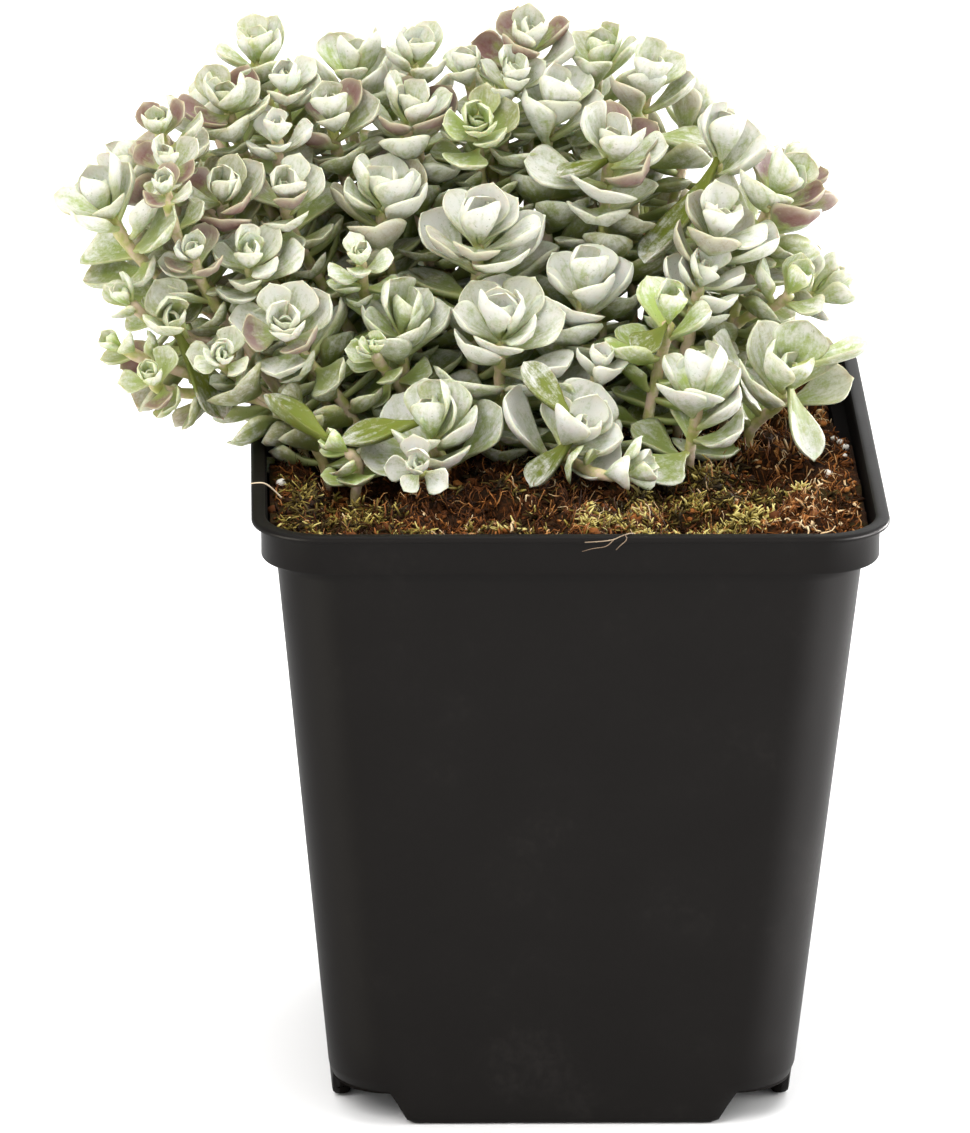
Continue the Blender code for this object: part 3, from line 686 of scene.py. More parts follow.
leaves = []
for single in SINGLES:
    path = trunks[single.stem].path
    spot = single.along * (len(path) - 1)
    k = int(spot)
    foot = path[k] + (path[min(k + 1, len(path) - 1)] - path[k]) * (spot - k)
    reach = spot_of(single) - foot
    length = float(np.linalg.norm(reach))
    head = trunks[single.stem].head
    tilt = math.degrees(math.acos(reach[2] / length))
    form = (foot, UPRIGHT, unit(reach * (1.0, 1.0, 0.0)), tilt, length)
    settle(Leaf(head, *form, float(single.half_width), 1.0, single.kind), single, LEAF_GAP)

for head in HEADS:
    facing = axis_of(head)
    stem_path = branches[head].path[: -len(BUD)]
    for rank in reversed(range(head.leaves)):
        age = 1.0 - rank / max(1, head.leaves - 1)
        foot, way = back_along(stem_path, max(0.0, head.reach * (OUTER_FOOT * age**1.4 - 0.05)))
        axis = unit(facing * (1.0 - 0.5 * age) + way * 0.5 * age)
        tilt = INNER_TILT + (head.spread - INNER_TILT) * age**0.9
        tilt += UNEVEN_TILT * age * uneven(head, rank, 0.0)
        length = head.reach * (INNER_SHARE + (1.0 - INNER_SHARE) * age)
        length *= 1.0 - UNEVEN_LENGTH * (1.0 + uneven(head, rank, 2.0)) * 0.5
        form = (foot, axis, across(axis, head.turn + GOLDEN_TURN * rank), tilt, length)
        settle(Leaf(head, *form, length * LEAF_HALF_SHARE, age, "outer"), head, LEAF_GAP)
print(len(leaves), "leaves of the solid model")

# %% [markdown]
# ## More leaves
# The solid model has only the leaves that give the plant its form. A real rosette closes over
# its growing point with smaller leaves, each wrapped round the next, and the stems below keep
# their older leaves, which have less bloom and are painted darker olive the lower they sit, as
# shade where little light reaches them. Both kinds follow the same spiral, and the old leaves
# take the same test for room.

# %% Add the inner leaves and the old leaves on the stems
INNER_LENGTHS = (0.73, 0.66, 0.54, 0.40, 0.27)
INNER_TILTS = (22.0, 18.0, 14.0, 10.0, 5.0)
rng = np.random.default_rng(11)
box_low, box_high = np.array(solid_box) / MM - POT_CENTRE


def in_box(points):
    """True where all the points are inside the solid model's box."""
    return bool((points > box_low).all() and (points < box_high).all())


for head in HEADS:
    facing = axis_of(head)
    open_by = rng.uniform(0.55, 1.35)
    for j, (share, tilt) in enumerate(zip(INNER_LENGTHS, INNER_TILTS)):
        foot = spot_of(head) + facing * head.reach * 0.035 * (j + 1)
        outward = across(facing, head.turn - GOLDEN_TURN * (j + 1) + 180.0)
        tilt = tilt * open_by + rng.uniform(-4, 4)
        length = head.reach * share * rng.uniform(0.86, 1.14)
        form = (foot, facing, outward, tilt, length, length * (0.36 + 0.015 * j))
        leaves.append(Leaf(head, *form, -0.2 * (j + 1), "inner"))

added = 0
for head in HEADS:
    branch = branches[head]
    line = branch.line
    total = float(np.linalg.norm(np.diff(line, axis=0), axis=1).sum())
    below = head.reach * OUTER_FOOT + 1.6
    rank = 0
    while below < total - (9.0 if branch.radius == STEM_RADIUS else 1.5):
        foot, way = back_along(line, below)
        reach = max(7.0, head.reach) * rng.uniform(0.72, 1.05)
        outward = across(way, head.turn + GOLDEN_TURN * rank + rng.uniform(-15, 15))
        old = min(1.0, below / 30.0)
        form = (foot, way, outward, rng.uniform(42, 86), reach, reach * rng.uniform(0.36, 0.44))
        leaf = Leaf(head, *form, 1.0 + old, "old")
        if in_box(plain_leaf(*form)[0]):
            added += settle(leaf, (head, "old", rank), 0.1, (1.0, 0.85, 0.7, 0.55))
        below += rng.uniform(0.7, 1.3)
        rank += 1
print(added, "old leaves on the stems,", len(leaves), "leaves in all")

# %% [markdown]
# ## The fine leaf
# One leaf is a closed surface of two parameters: along, from the foot to the tip, and round,
# once about the leaf. Its outline is a spoon, its section a lens with a thick rim that is bent
# into an arc, and its tip ends in a small point.

# %% Leaf surface
FINE_ROWS = np.array([0, 0.1, 0.22, 0.36, 0.5, 0.61, 0.7, 0.78, 0.85, 0.905, 0.95, 0.98, 0.994])
SMALL_ROWS = np.array([0.0, 0.16, 0.36, 0.55, 0.7, 0.83, 0.93, 0.98])
SMALL_LEAF = 7.5


def turns(count):
    """Angles evenly round a circle."""
    return np.arange(count) * 2.0 * np.pi / count


def outline(along, peak, point):
    """Half the width: a narrow foot that swells to 1 at peak, then a round or pointed end."""
    climb = along / peak
    rise = LEAF_FOOT + (1.0 - LEAF_FOOT) * (0.25 * climb + 0.75 * smooth(climb**1.15))
    beyond = np.clip((along - peak) / (1.0 - peak), 0.0, 1.0)
    fall = (1.0 - beyond ** (2.1 - 0.5 * point)) ** (0.5 + 0.3 * point)
    return np.where(along < peak, rise, fall)


def closed_faces(rows, count):
    """The quads of a grid and the two fans that close its ends."""
    ring = np.arange(count)
    ahead = (ring + 1) % count
    foot = rows * count
    last = (rows - 1) * count
    start = np.column_stack([ahead, ring, np.full(count, foot)])
    end = np.column_stack([last + ring, last + ahead, np.full(count, foot + 1)])
    return ring_faces(rows, count).tolist() + start.tolist() + end.tolist()


def fine_leaf(leaf, form):
    """A leaf's points, its faces, and how far along, across and rimward each point is.

    The middle line is the plain leaf's. Round is an angle: its cosine says how far across the
    point is and its sine which face it is on. Across is bent into an arc of angle cup, which
    lifts the rims, and the thickness is the sine to a power under 1, which keeps the rims full.
    """
    small = leaf.length < SMALL_LEAF or leaf.kind == "old"
    rows = SMALL_ROWS if small else FINE_ROWS
    count = 10 if small else 12
    side_share, up_share = np.cos(turns(count)), np.sin(turns(count))
    line = leaf_line(leaf.foot, leaf.axis, leaf.outward, leaf.tilt, leaf.length, form["curl"])
    spot = rows * LEAF_STEPS
    low = np.minimum(spot.astype(int), LEAF_STEPS - 1)
    middle = line[low] + (line[low + 1] - line[low]) * (spot - low)[:, None]
    angle = np.radians(leaf.tilt + form["curl"] * (0.5 - rows))[:, None]
    inward = leaf.axis * np.sin(angle) - leaf.outward * np.cos(angle)
    side = np.cross(leaf.axis, leaf.outward)
    twist = np.radians(form["twist"] * rows)[:, None]
    side, inward = (
        side * np.cos(twist) + inward * np.sin(twist),
        inward * np.cos(twist) - side * np.sin(twist),
    )
    width = leaf.half_width * form["wide"] * outline(rows, form["peak"], form["point"])[:, None]
    cup, fold = form["cup"], form["fold"]
    bend = cup * side_share * (0.55 + 0.45 * smooth(rows / 0.5))[:, None]
    flat = width * np.sin(bend) / cup
    lift = (1.0 - np.cos(bend)) / cup + fold * np.abs(side_share) - 0.16 * cup - 0.35 * fold
    lift += form["wave"] * np.sin(2.2 * np.pi * rows + form["phase"])[:, None] * side_share
    body = leaf.half_width * 0.06 + form["thick"] * (0.55 + 0.45 * np.sin(np.pi * rows**0.8))
    body = (body * np.clip((1.06 - rows) / 0.22, 0.25, 1.0))[:, None]
    body = np.minimum(body, width * 0.9 + 0.1)
    across_body = np.sign(up_share) * np.abs(up_share) ** 0.9
    lift = width * lift + body * across_body * np.where(across_body > 0, 0.75, 1.0)
    points = middle[:, None] + side[:, None] * flat[..., None] + inward[:, None] * lift[..., None]
    ahead = unit(line[-1] - line[-3])
    tip = line[-1] + ahead * form["spike"] - inward[-1] * 0.16 * cup * width[-1]
    to_rim = (width + 0.25) * (1.0 - np.abs(side_share))
    to_tip = (1.0 - rows[:, None]) * leaf.length * 0.9
    rim = np.exp(-np.minimum(to_rim, to_tip) / 0.42)
    facts = [np.repeat(rows, count), np.tile(side_share, len(rows)), rim.ravel()]
    facts = np.vstack([np.column_stack(facts), (0.0, 0.0, 0.0), (1.0, 0.0, 1.0)])
    return np.vstack([points.reshape(-1, 3), leaf.foot, tip]), closed_faces(len(rows), count), facts


def leaf_form(leaf):
    """How this leaf differs from the next: seeded draws, by its kind and its rosette's size."""
    inner = leaf.kind == "inner"
    reach = leaf.head.reach
    return dict(
        cup=rng.uniform(0.7, 1.0) if inner else rng.uniform(0.35, 0.85),
        curl=rng.uniform(16, 34) if inner else rng.uniform(4, 36),
        fold=rng.uniform(0.0, 0.3),
        wide=rng.uniform(0.98, 1.2),
        peak=rng.uniform(0.71, 0.81),
        point=rng.uniform(0.0, 0.42 if reach > 10 else 0.25),
        thick=(0.36 if inner else 0.44) * (0.8 + 0.02 * reach),
        twist=rng.uniform(-20, 20),
        wave=rng.uniform(-0.1, 0.1),
        phase=rng.uniform(0, 6.28),
        spike=rng.uniform(0.15, 0.4),
    )


print("leaf surface ready")

# %% Stem surface
STEM_SIDES = 10
STEM_SLIM = 0.68


def tube_rings(path, guide, radii, angles):
    """Rings round a path, or round many at once: side times cosine plus over times sine.

    Side is square to the way ahead and to the guide, and over is square to both.
    """
    ahead = unit(np.gradient(path, axis=-2) + 1e-9)
    side = unit(np.cross(ahead, guide) + 1e-9)
    over = np.cross(side, ahead)
    cosine, sine = np.cos(angles)[:, None], np.sin(angles)[:, None]
    ring = side[..., None, :] * cosine + over[..., None, :] * sine
    return path[..., None, :] + ring * radii[..., None, None]


def stem_surface(branch):
    """A tube along the stem's curve, its thickness rippling a little, with the same three facts."""
    line = branch.line
    share = np.linspace(0.0, 1.0, len(line))
    radius = STEM_SLIM * (branch.radius + (STEM_TIP_RADIUS - branch.radius) * share)
    radius = radius * (1.0 + 0.09 * np.sin(share * 61.0 + branch.head.turn))
    turn = turns(STEM_SIDES)
    points = tube_rings(line, (0.35, 0.9, 0.1), radius, -turn).reshape(-1, 3)
    facts = np.repeat(share, STEM_SIDES), np.tile(np.cos(turn), len(line)), np.zeros(len(points))
    facts = np.vstack([np.column_stack(facts), (0.0, 0.0, 0.0), (1.0, 0.0, 0.0)])
    tip = line[-1] + unit(line[-1] - line[-2])
    return np.vstack([points, line[0], tip]), closed_faces(len(line), STEM_SIDES), facts


print("stem surface ready")

# %% [markdown]
# ## Leaf and stem finishes
# The bloom is a white wax that rubs off, so it lies in clouds with greener scratches between.
# Under it the leaf is sage green, fresher in the middle of a rosette, and purple towards the
# tips of leaves that stand in the sun. Old leaves low on the stems go dull olive, partly their
# own colour and partly painted shade. The rim is pale: partly its own margin, partly a painted
# highlight where the thick rim catches the light. The stems are pinkish tan to olive.

# %% Paint the leaves
SAGE = (0.30, 0.355, 0.13)
FRESH_GREEN = (0.34, 0.45, 0.085)
# Dark olive: old leaves and specks, and painted shade on leaves low in the plant
OLD_GREEN_AND_SHADE = (0.125, 0.150, 0.018)
PURPLE = (0.165, 0.075, 0.065)
BLOOM_WHITE = (0.725, 0.715, 0.71)
# Pale rim: partly the margin's own colour, partly a painted highlight where it catches light
RIM_PALE_AND_HIGHLIGHT = (0.66, 0.69, 0.42)
FOOT_PALE = (0.50, 0.52, 0.12)

leaf_paint = Paint(
    "bloomed_leaf", 0.6, Specular_IOR_Level=0.12, Subsurface_Weight=0.12, Subsurface_Scale=0.0012
)
along, across_leaf, seed = leaf_paint.layer("leaf_place")
white, fresh, blush = leaf_paint.layer("leaf_look")
rim, dull, _ = leaf_paint.layer("leaf_more")
cloud = leaf_paint.noise(1.6, 4.0)
fine_cloud = leaf_paint.noise(0.45, 3.0, roughness=0.7)
lines = {0: across_leaf * 3.0, 1: along * 1.2, 2: seed * 40.0}
grain = leaf_paint.add("ShaderNodeCombineXYZ", inputs=lines)
streak = leaf_paint.noise(0.55, 3.0, grain)
speck_cloud = leaf_paint.noise(0.34, 2.0)
specks = leaf_paint.step(speck_cloud + (streak - 0.5) * 0.35, 0.66, 0.76)

green = leaf_paint.mix(fresh, SAGE, FRESH_GREEN)
green = leaf_paint.mix(leaf_paint.step(0.34 - along, 0.0, 0.34) * 0.7, green, FOOT_PALE)
# Dull leaves go dark olive: old leaves' own colour, and painted shade low in the plant
green = leaf_paint.mix(dull, green, OLD_GREEN_AND_SHADE)
sunned = leaf_paint.step(along + (cloud - 0.5) * 0.9 + rim * 0.2, 0.25, 0.95)
stained = (blush * sunned * 1.3).clamped()
green = leaf_paint.mix(stained, green, PURPLE)
wax = white + (cloud - 0.5) * 1.3 + (streak - 0.5) * 1.0 + (fine_cloud - 0.5) * 0.8
wax = leaf_paint.step(wax + (along - 0.6) * 0.8, 0.05, 1.0)
colour = leaf_paint.mix(wax * (0.88 - stained * 0.76), green, BLOOM_WHITE)
# The pale rim, partly a painted highlight, is left off dull leaves
colour = leaf_paint.mix(rim * (1.0 - dull) * 0.55, colour, RIM_PALE_AND_HIGHLIGHT)
colour = leaf_paint.mix(specks * 0.55 * (1.0 - rim), colour, OLD_GREEN_AND_SHADE)
leaf_paint.set(Base_Color=colour, Roughness=0.42 + wax * 0.3)
leaf_paint.bump(cloud * 0.5 + fine_cloud * 0.3 + streak * 0.4, 0.12, 0.6)

STEM_TAN = (0.66, 0.51, 0.38)
STEM_OLIVE = (0.40, 0.41, 0.12)
STEM_BROWN = (0.27, 0.17, 0.08)
stem_paint = Paint(
    "leafy_stem", 0.55, Specular_IOR_Level=0.2, Subsurface_Weight=0.08, Subsurface_Scale=0.001
)
stem_along = stem_paint.layer("leaf_place")[0]
mottle = stem_paint.noise(2.4, 3.0)
bark = stem_paint.noise(0.5, 3.0)
stem_colour = stem_paint.mix(stem_paint.step(mottle, 0.35, 0.65), STEM_TAN, STEM_OLIVE)
low = stem_paint.step(0.5 - stem_along + (mottle - 0.5) * 0.5, 0.1, 0.6)
stem_colour = stem_paint.mix(low * 0.8, stem_colour, STEM_BROWN)
stem_paint.set(Base_Color=stem_colour)
stem_paint.bump(bark + mottle, 0.15, 0.7)
print("leaf and stem finishes ready")

# %% Build one piece for each leafy stem
def look_of(leaf):
    """White, fresh, blush and dull for one leaf, from its rosette's table row and its age."""
    white, fresh, blush = (mark / 9.0 for mark in leaf.head[-3:])
    if leaf.kind == "old":
        # Old leaves: the lower on the stem, the less white and the darker olive, as painted shade
        shade = min(1.0, 1.6 * (leaf.age - 1.0))
        white = white * rng.uniform(0.4, 0.9) * (1 - 0.6 * shade)
        blush = blush * rng.uniform(0, 1.6) * (1.0 - 0.7 * shade)
        return white, fresh * 0.6, blush, shade * rng.uniform(0.3, 0.7)
    if leaf.kind == "worn":
        # Singles with the bloom rubbed off, also painted dark olive as shade low in the plant
        return white * 0.32, 0.0, 0.0, 0.95
    if leaf.kind == "pale":
        return white * 0.8, 0.25, 0.0, 0.15
    draw = rng.uniform()
    strong = 2.3 if draw > 0.62 - 0.3 * blush else 0.35
    strong = blush * (strong if leaf.age > 0.15 else 0.2)
    greener = 0.6 * max(0.0, -leaf.age) + 0.25 * (leaf.age < 0.4)
    fresh = fresh * (0.55 + greener) + rng.uniform(-0.08, 0.08)
    white = white * rng.uniform(0.72, 1.12) * (1.0 - 0.45 * min(1.0, strong))
    dull = rng.uniform(0.0, 0.22) * (leaf.age > 0.7)
    return white, float(np.clip(fresh, 0, 1)), float(np.clip(strong, 0, 1)), dull


def fill(mesh, name, values):
    """Stores three numbers at each point of a mesh."""
    layer = mesh.attributes.new(name, "FLOAT_VECTOR", "POINT")
    layer.data.foreach_set("vector", np.asarray(values, dtype=np.float32).ravel())


def piece_of(name, points, faces, paints, slots=None):
    """A smooth piece of the visible model, with a paint's number for each face."""
    made = object_of(name, points, faces)
    for paint in paints:
        made.data.materials.append(paint.material)
    if slots is not None:
        made.data.polygons.foreach_set("material_index", slots)
    made.data.shade_smooth()
    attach(made, "root")
    return made


def joined(shapes):
    """Several shapes as one: their points stacked, and their faces counted on."""
    points, faces, count = [], [], 0
    for grid, made in shapes:
        faces += [[index + count for index in face] for face in made]
        points.append(grid)
        count += len(grid)
    return np.vstack(points), faces


total_faces = 0
for stem in ROOTS:
    surfaces = [(*stem_surface(b), None) for h, b in branches.items() if h.stem == stem]
    own = [leaf for leaf in leaves if leaf.head.stem == stem]
    surfaces += [(*fine_leaf(leaf, leaf_form(leaf)), leaf) for leaf in own]
    slots, places, looks, mores = [], [], [], []
    for grid, faces, facts, leaf in surfaces:
        white, fresh, blush, dull = look_of(leaf) if leaf else (0.5, 0.5, 0.0, 0.0)
        slots += [0 if leaf else 1] * len(faces)
        size = len(grid)
        places.append(np.column_stack([facts[:, :2], np.full(size, rng.uniform())]))
        looks.append(np.tile((white, fresh, blush), (size, 1)))
        mores.append(np.column_stack([facts[:, 2], np.full(size, dull), np.zeros(size)]))
    points, faces = joined([surface[:2] for surface in surfaces])
    made = piece_of(f"leafy_shoot_{stem:02d}", points, faces, (leaf_paint, stem_paint), slots)
    for name, rows in (("leaf_place", places), ("leaf_look", looks), ("leaf_more", mores)):
        fill(made.data, name, np.vstack(rows))
    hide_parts(f"leafy_stem_{stem:02d}")
    total_faces += len(faces)
print(total_faces, "faces in the leafy stems")

# %% [markdown]
# ## The pot
# The real pot is thin moulded plastic: a tapered body, a band with a rolled lip that carries
# it in a tray, and a foot cut away at the corners. Here it is one closed surface: rounded
# square rings that climb the outside, go over the lip and come down the inside. The lowest
# rings follow the cut foot, so its slanted edges need no Boolean.

# %% Pot surface
APRON_HALF_FOOT = 22.5
APRON_HALF_TOP = 24.9
CORNER_STEPS = 14
FOOT_FADE = 7.0
SIDE_STOPS = np.array([23.3, 22.9, 22.5, 22.0, 21.3, 10.0])
SIDE_STOPS = np.concatenate([SIDE_STOPS, [0.0], -SIDE_STOPS[::-1]])

# Half the width, the corner's radius and the height of each ring, from the foot outside, over
# the lip, to the foot inside
LEDGE_ROWS = (
    (41.5, 9.5, 87.5), (41.62, 9.5, 87.68), (41.9, 9.5, 87.76), (43.1, 8.9, 87.92),
    (43.48, 8.7, 88.04), (43.6, 8.6, 88.3), (43.6, 8.6, 92.5), (43.68, 8.6, 92.82),
    (43.95, 8.8, 93.0), (44.6, 9.3, 93.06), (44.9, 9.45, 93.2), (45.0, 9.5, 93.45),
    (44.96, 9.5, 93.72), (44.78, 9.4, 93.92), (44.4, 9.2, 94.0), (43.4, 8.5, 93.98),
    (43.0, 8.2, 93.86), (42.76, 8.0, 93.6), (42.7, 7.8, 93.2), (42.7, 7.8, 89.3),
    (42.6, 7.8, 89.05), (42.3, 7.8, 88.94), (41.0, 8.6, 88.72), (40.7, 8.6, 88.6),
    (40.6, 8.6, 88.3),
)


def pot_ring(half, corner, height):
    """Four corners and straight sides, each turned on from the last, lifted over the cut foot."""
    angle = np.radians(np.linspace(0.0, 90.0, CORNER_STEPS + 1))
    arc = (half - corner) + corner * np.column_stack([np.cos(angle), np.sin(angle)])
    side = np.column_stack([SIDE_STOPS, np.full(len(SIDE_STOPS), half)])
    piece = np.vstack([arc, side])
    flat = np.vstack([piece, piece[:, ::-1] * (-1, 1), -piece, piece[:, ::-1] * (1, -1)])
    near = np.abs(flat).min(axis=1)
    share = np.clip((near - APRON_HALF_FOOT) / (APRON_HALF_TOP - APRON_HALF_FOOT), 0.0, 1.0)
    share = share + 0.10 * smooth((near - 21.3) / 1.2) * (1.0 - share) ** 2
    cut = FLOOR_UNDER * share * max(0.0, 1.0 - height / FOOT_FADE)
    return np.column_stack([flat, height + cut])


# The foot's thick rim is rounded below: the height and the inset of each ring
OUTSIDE = ((0.0, 1.1), (0.15, 0.5), (0.5, 0.12), (1.2, 0.0), (3.0, 0.0), (5.0, 0.0), (7.0, 0.0))
OUTSIDE += tuple((height, 0.0) for height in (12.0, 24.0, 40.0, 56.0, 70.0, 80.0, 86.0))
INSIDE = tuple((height, WALL) for height in (86.0, 80.0, 66.0, 48.0, 30.0, 14.0, 7.0, 5.6))
INSIDE += ((5.3, 2.8), (1.6, 2.8), (0.7, 2.6), (0.2, 2.2), (0.0, 1.7))


def body_rows(stops, corner):
    """Rings of the tapered body, with a corner that grows by half a millimetre on the way up."""
    for height, inset in stops:
        grown = corner + 0.5 * height / BAND_BOTTOM
        yield body_half(max(height, 1.0)) - inset, grown, height


rows = [*body_rows(OUTSIDE, 9.0), *LEDGE_ROWS, *body_rows(INSIDE, 8.1)]
rings = np.array([pot_ring(*row) for row in rows])
ring_size = rings.shape[1]
wall_faces = ring_faces(len(rings), ring_size)
closing = ring_faces(2, ring_size)
closing = np.where(closing < ring_size, closing + (len(rings) - 1) * ring_size, closing - ring_size)
wall_faces = np.vstack([wall_faces, closing])
print("pot wall:", len(wall_faces), "faces")

# %% Pot floor
FLOOR_THICK = 1.2
DRAIN_RADIUS = 4.5
DRAIN_FROM_CENTRE = 22.0
FLOOR_CORNER = 8.6


def plug(name, ring, low, high):
    """An upright plug between two heights, closed at both ends."""
    size = len(ring)
    points = np.vstack([np.column_stack([ring, np.full(size, z)]) for z in (low, high)])
    caps = [list(range(size))[::-1], list(range(size, 2 * size))]
    return object_of(name, points, ring_faces(2, size).tolist() + caps)


floor_ring = rounded_square(body_half(FLOOR_UNDER) - WALL * 0.5, FLOOR_CORNER, 0.0, 10)[:, :2]
floor_plate = plug("floor_plate", floor_ring, FLOOR_UNDER, FLOOR_UNDER + FLOOR_THICK)
drain_ring = DRAIN_RADIUS * np.column_stack([np.cos(turns(40)), np.sin(turns(40))])
drains = []
for spot in itertools.product((-DRAIN_FROM_CENTRE, DRAIN_FROM_CENTRE), repeat=2):
    drains.append(plug("drain", spot + drain_ring, FLOOR_UNDER - 1.0, FLOOR_UNDER + 2.4))
    step = floor_plate.modifiers.new("drain", "BOOLEAN")
    step.operation = "DIFFERENCE"
    step.object = drains[-1]
graph = bpy.context.evaluated_depsgraph_get()
drilled = shape_in(bpy.data.meshes.new_from_object(floor_plate.evaluated_get(graph)))
for helper in [floor_plate, *drains]:
    bpy.data.objects.remove(helper)
print("floor plate:", len(drilled[1]), "faces")

# %% [markdown]
# The plastic is satin black with a faint moulding texture. It is barely lighter where soil dust
# has dried on it, and handling has left a few duller clouds.

# %% Paint the pot and join it
POT_BLACK = (0.0026, 0.0018, 0.0015)
POT_DUST = (0.014, 0.011, 0.009)
pot_paint = Paint("black_moulded_plastic", 0.4, Specular_IOR_Level=0.068)
smear = pot_paint.noise(14.0, 4.0)
pits = pot_paint.noise(0.35, 2.0)
dust = pot_paint.step(smear + (pot_paint.noise(1.1, 3.0) - 0.5) * 0.6, 0.55, 0.95)
pot_paint.set(
    Base_Color=pot_paint.mix(dust * 0.2, POT_BLACK, POT_DUST),
    Roughness=0.48 + dust * 0.1 + (smear - 0.5) * 0.1,
)
pot_paint.bump(pits + smear * 3.0, 0.02, 0.5)

# Inside, below the lip, the plastic is dull with dried peat
inside_paint = Paint("dull_inside_plastic", 0.8, Base_Color=POT_BLACK, Specular_IOR_Level=0.02)
first_inside = len(OUTSIDE) + LEDGE_ROWS.index((43.0, 8.2, 93.86))
inside = np.arange(len(wall_faces)) // ring_size >= first_inside
slots = inside.astype(int).tolist() + [1] * len(drilled[1])
points, faces = joined([(rings.reshape(-1, 3), wall_faces.tolist()), drilled])
pot = piece_of("nursery_pot", points, faces, (pot_paint, inside_paint), slots)
pot.data.set_sharp_from_angle(angle=math.radians(40.0))
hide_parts("pot")
print("pot joined")

# %% [markdown]
# ## The soil
# Potting soil is a mat of peat crumbs and fibres. The ground below them is one surface over
# the solid's soil, roughened by lattice noise: random numbers on a square grid, blended
# smoothly between the grid's points and added up at several sizes.

# %% Soil surface
AROUND = 560
INWARD = 110
SOIL_HALF = 40.2
LEDGE_HALF = 42.3
LEDGE_TOP = 88.8
SPILL_LEVEL = 90.6
SOIL_CORNER = 8.4
LATTICE_SIZE = 64
soil_rng = np.random.default_rng(5)
LATTICE = soil_rng.uniform(-1.0, 1.0, (LATTICE_SIZE, LATTICE_SIZE))


def lattice_noise(x, y, size, shift=0.0):
    """Noise between -1 and 1 with lumps of this size: a smooth blend of four lattice values."""
    u, v = x / size + shift + 200.0, y / size + shift * 1.7 + 200.0
    i, j = np.floor(u).astype(int), np.floor(v).astype(int)
    s, t = smooth(u - i), smooth(v - j)
    i, j, next_i, next_j = (index % LATTICE_SIZE for index in (i, j, i + 1, j + 1))
    near = LATTICE[i, j] * (1 - s) + LATTICE[next_i, j] * s
    far = LATTICE[i, next_j] * (1 - s) + LATTICE[next_i, next_j] * s
    return near * (1 - t) + far * t


def crumbly(x, y):
    """The two middle sizes of the ground's noise, which the litter's painted shade follows too."""
    return lattice_noise(x, y, 6.0, 0.3), lattice_noise(x, y, 2.6, 5.1)


def spill_right(y):
    """Along the right wall the soil covers the ledge in front, and has sunk away at the back."""
    return smooth((11.0 - y) / 6.0)


def over_ledge(x, y):
    """How far the soil has spilled over the ledge, from 0 to 1."""
    front = smooth((-y - 33.0) / 5.0)
    left = smooth((-x - 33.0) / 5.0) * smooth((14.0 - y) / 20.0)
    right = smooth((x - 34.0) / 4.0) * spill_right(y)
    return np.maximum(front, np.maximum(left, right))


def fine_ground(x, y):
    """The soil's height with its crumbs: four sizes of noise, raised where it spills."""
    wide, fine = crumbly(x, y)
    ground = soil_height(x, y) + 1.3 * wide + 1.2 * fine
    ground = ground + 0.6 * lattice_noise(x, y, 1.2, 9.7) + 0.22 * lattice_noise(x, y, 0.6, 3.3)
    spilled = over_ledge(x, y)
    return ground * (1 - spilled) + np.maximum(ground + 0.8, SPILL_LEVEL) * spilled


def grounded(spots):
    """Places on the soil with their heights."""
    return np.column_stack([spots, fine_ground(*spots.T)])


def soil_ring(share, half=SOIL_HALF, spill=LEDGE_HALF / SOIL_HALF, corner=SOIL_CORNER):
    """A ring this share of the way out, stretched over the pot's ledge where soil lies on it."""
    ring = rounded_square(half, corner, 0.0, 12)[:, :2]
    ring = np.vstack([ring, ring[:1]])
    length = np.append(0.0, np.cumsum(np.linalg.norm(np.diff(ring, axis=0), axis=1)))
    stops = np.linspace(0.0, length[-1], AROUND, endpoint=False)
    even = np.column_stack([np.interp(stops, length, ring[:, k]) for k in (0, 1)])
    x, y = even.T
    rightwards = 1.0 + (spill - 1.0) * spill_right(y)
    x = x * np.where(x < 0, spill, rightwards)
    y = y * np.where(y < 0, spill, 1.0)
    return np.column_stack([x, y]) * share


soil_rows = []
for share in np.linspace(0.004, 1.0, INWARD):
    soil_rows.append(grounded(soil_ring(share)))
edge = soil_rows[-1].copy()
on_ledge = np.abs(edge[:, :2]).max(axis=1) > SOIL_HALF + 0.1
edge[:, 2] = np.where(on_ledge, LEDGE_TOP, edge[:, 2] - 0.5)
soil_rows.append(edge)
for half, height in ((40.1, LEDGE_TOP - 0.02), (39.9, 87.0), (39.5, 83.0), (32.4, 6.4)):
    flat = soil_ring(1.0, half, 1.0, 8.0)
    soil_rows.append(np.column_stack([flat, np.minimum(height, edge[:, 2] - 0.1)]))
grid = np.array(soil_rows)
points = np.vstack([grid.reshape(-1, 3), [[0.0, 0.0, float(fine_ground(0.0, 0.0))], [0, 0, 6.4]]])
faces = closed_faces(len(grid), AROUND)
ground_paint = Paint("peat_ground", 0.9, Specular_IOR_Level=0.1)
soil = piece_of("soil_bed", points, faces, (ground_paint,))
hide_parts("soil")
print("soil bed:", len(faces), "faces")

# %% [markdown]
# Peat is nearly black where it is wet and shaded, red-brown on its crumbs and tan where fibres
# have dried. Large noise chooses between moss-stained and bare ground.

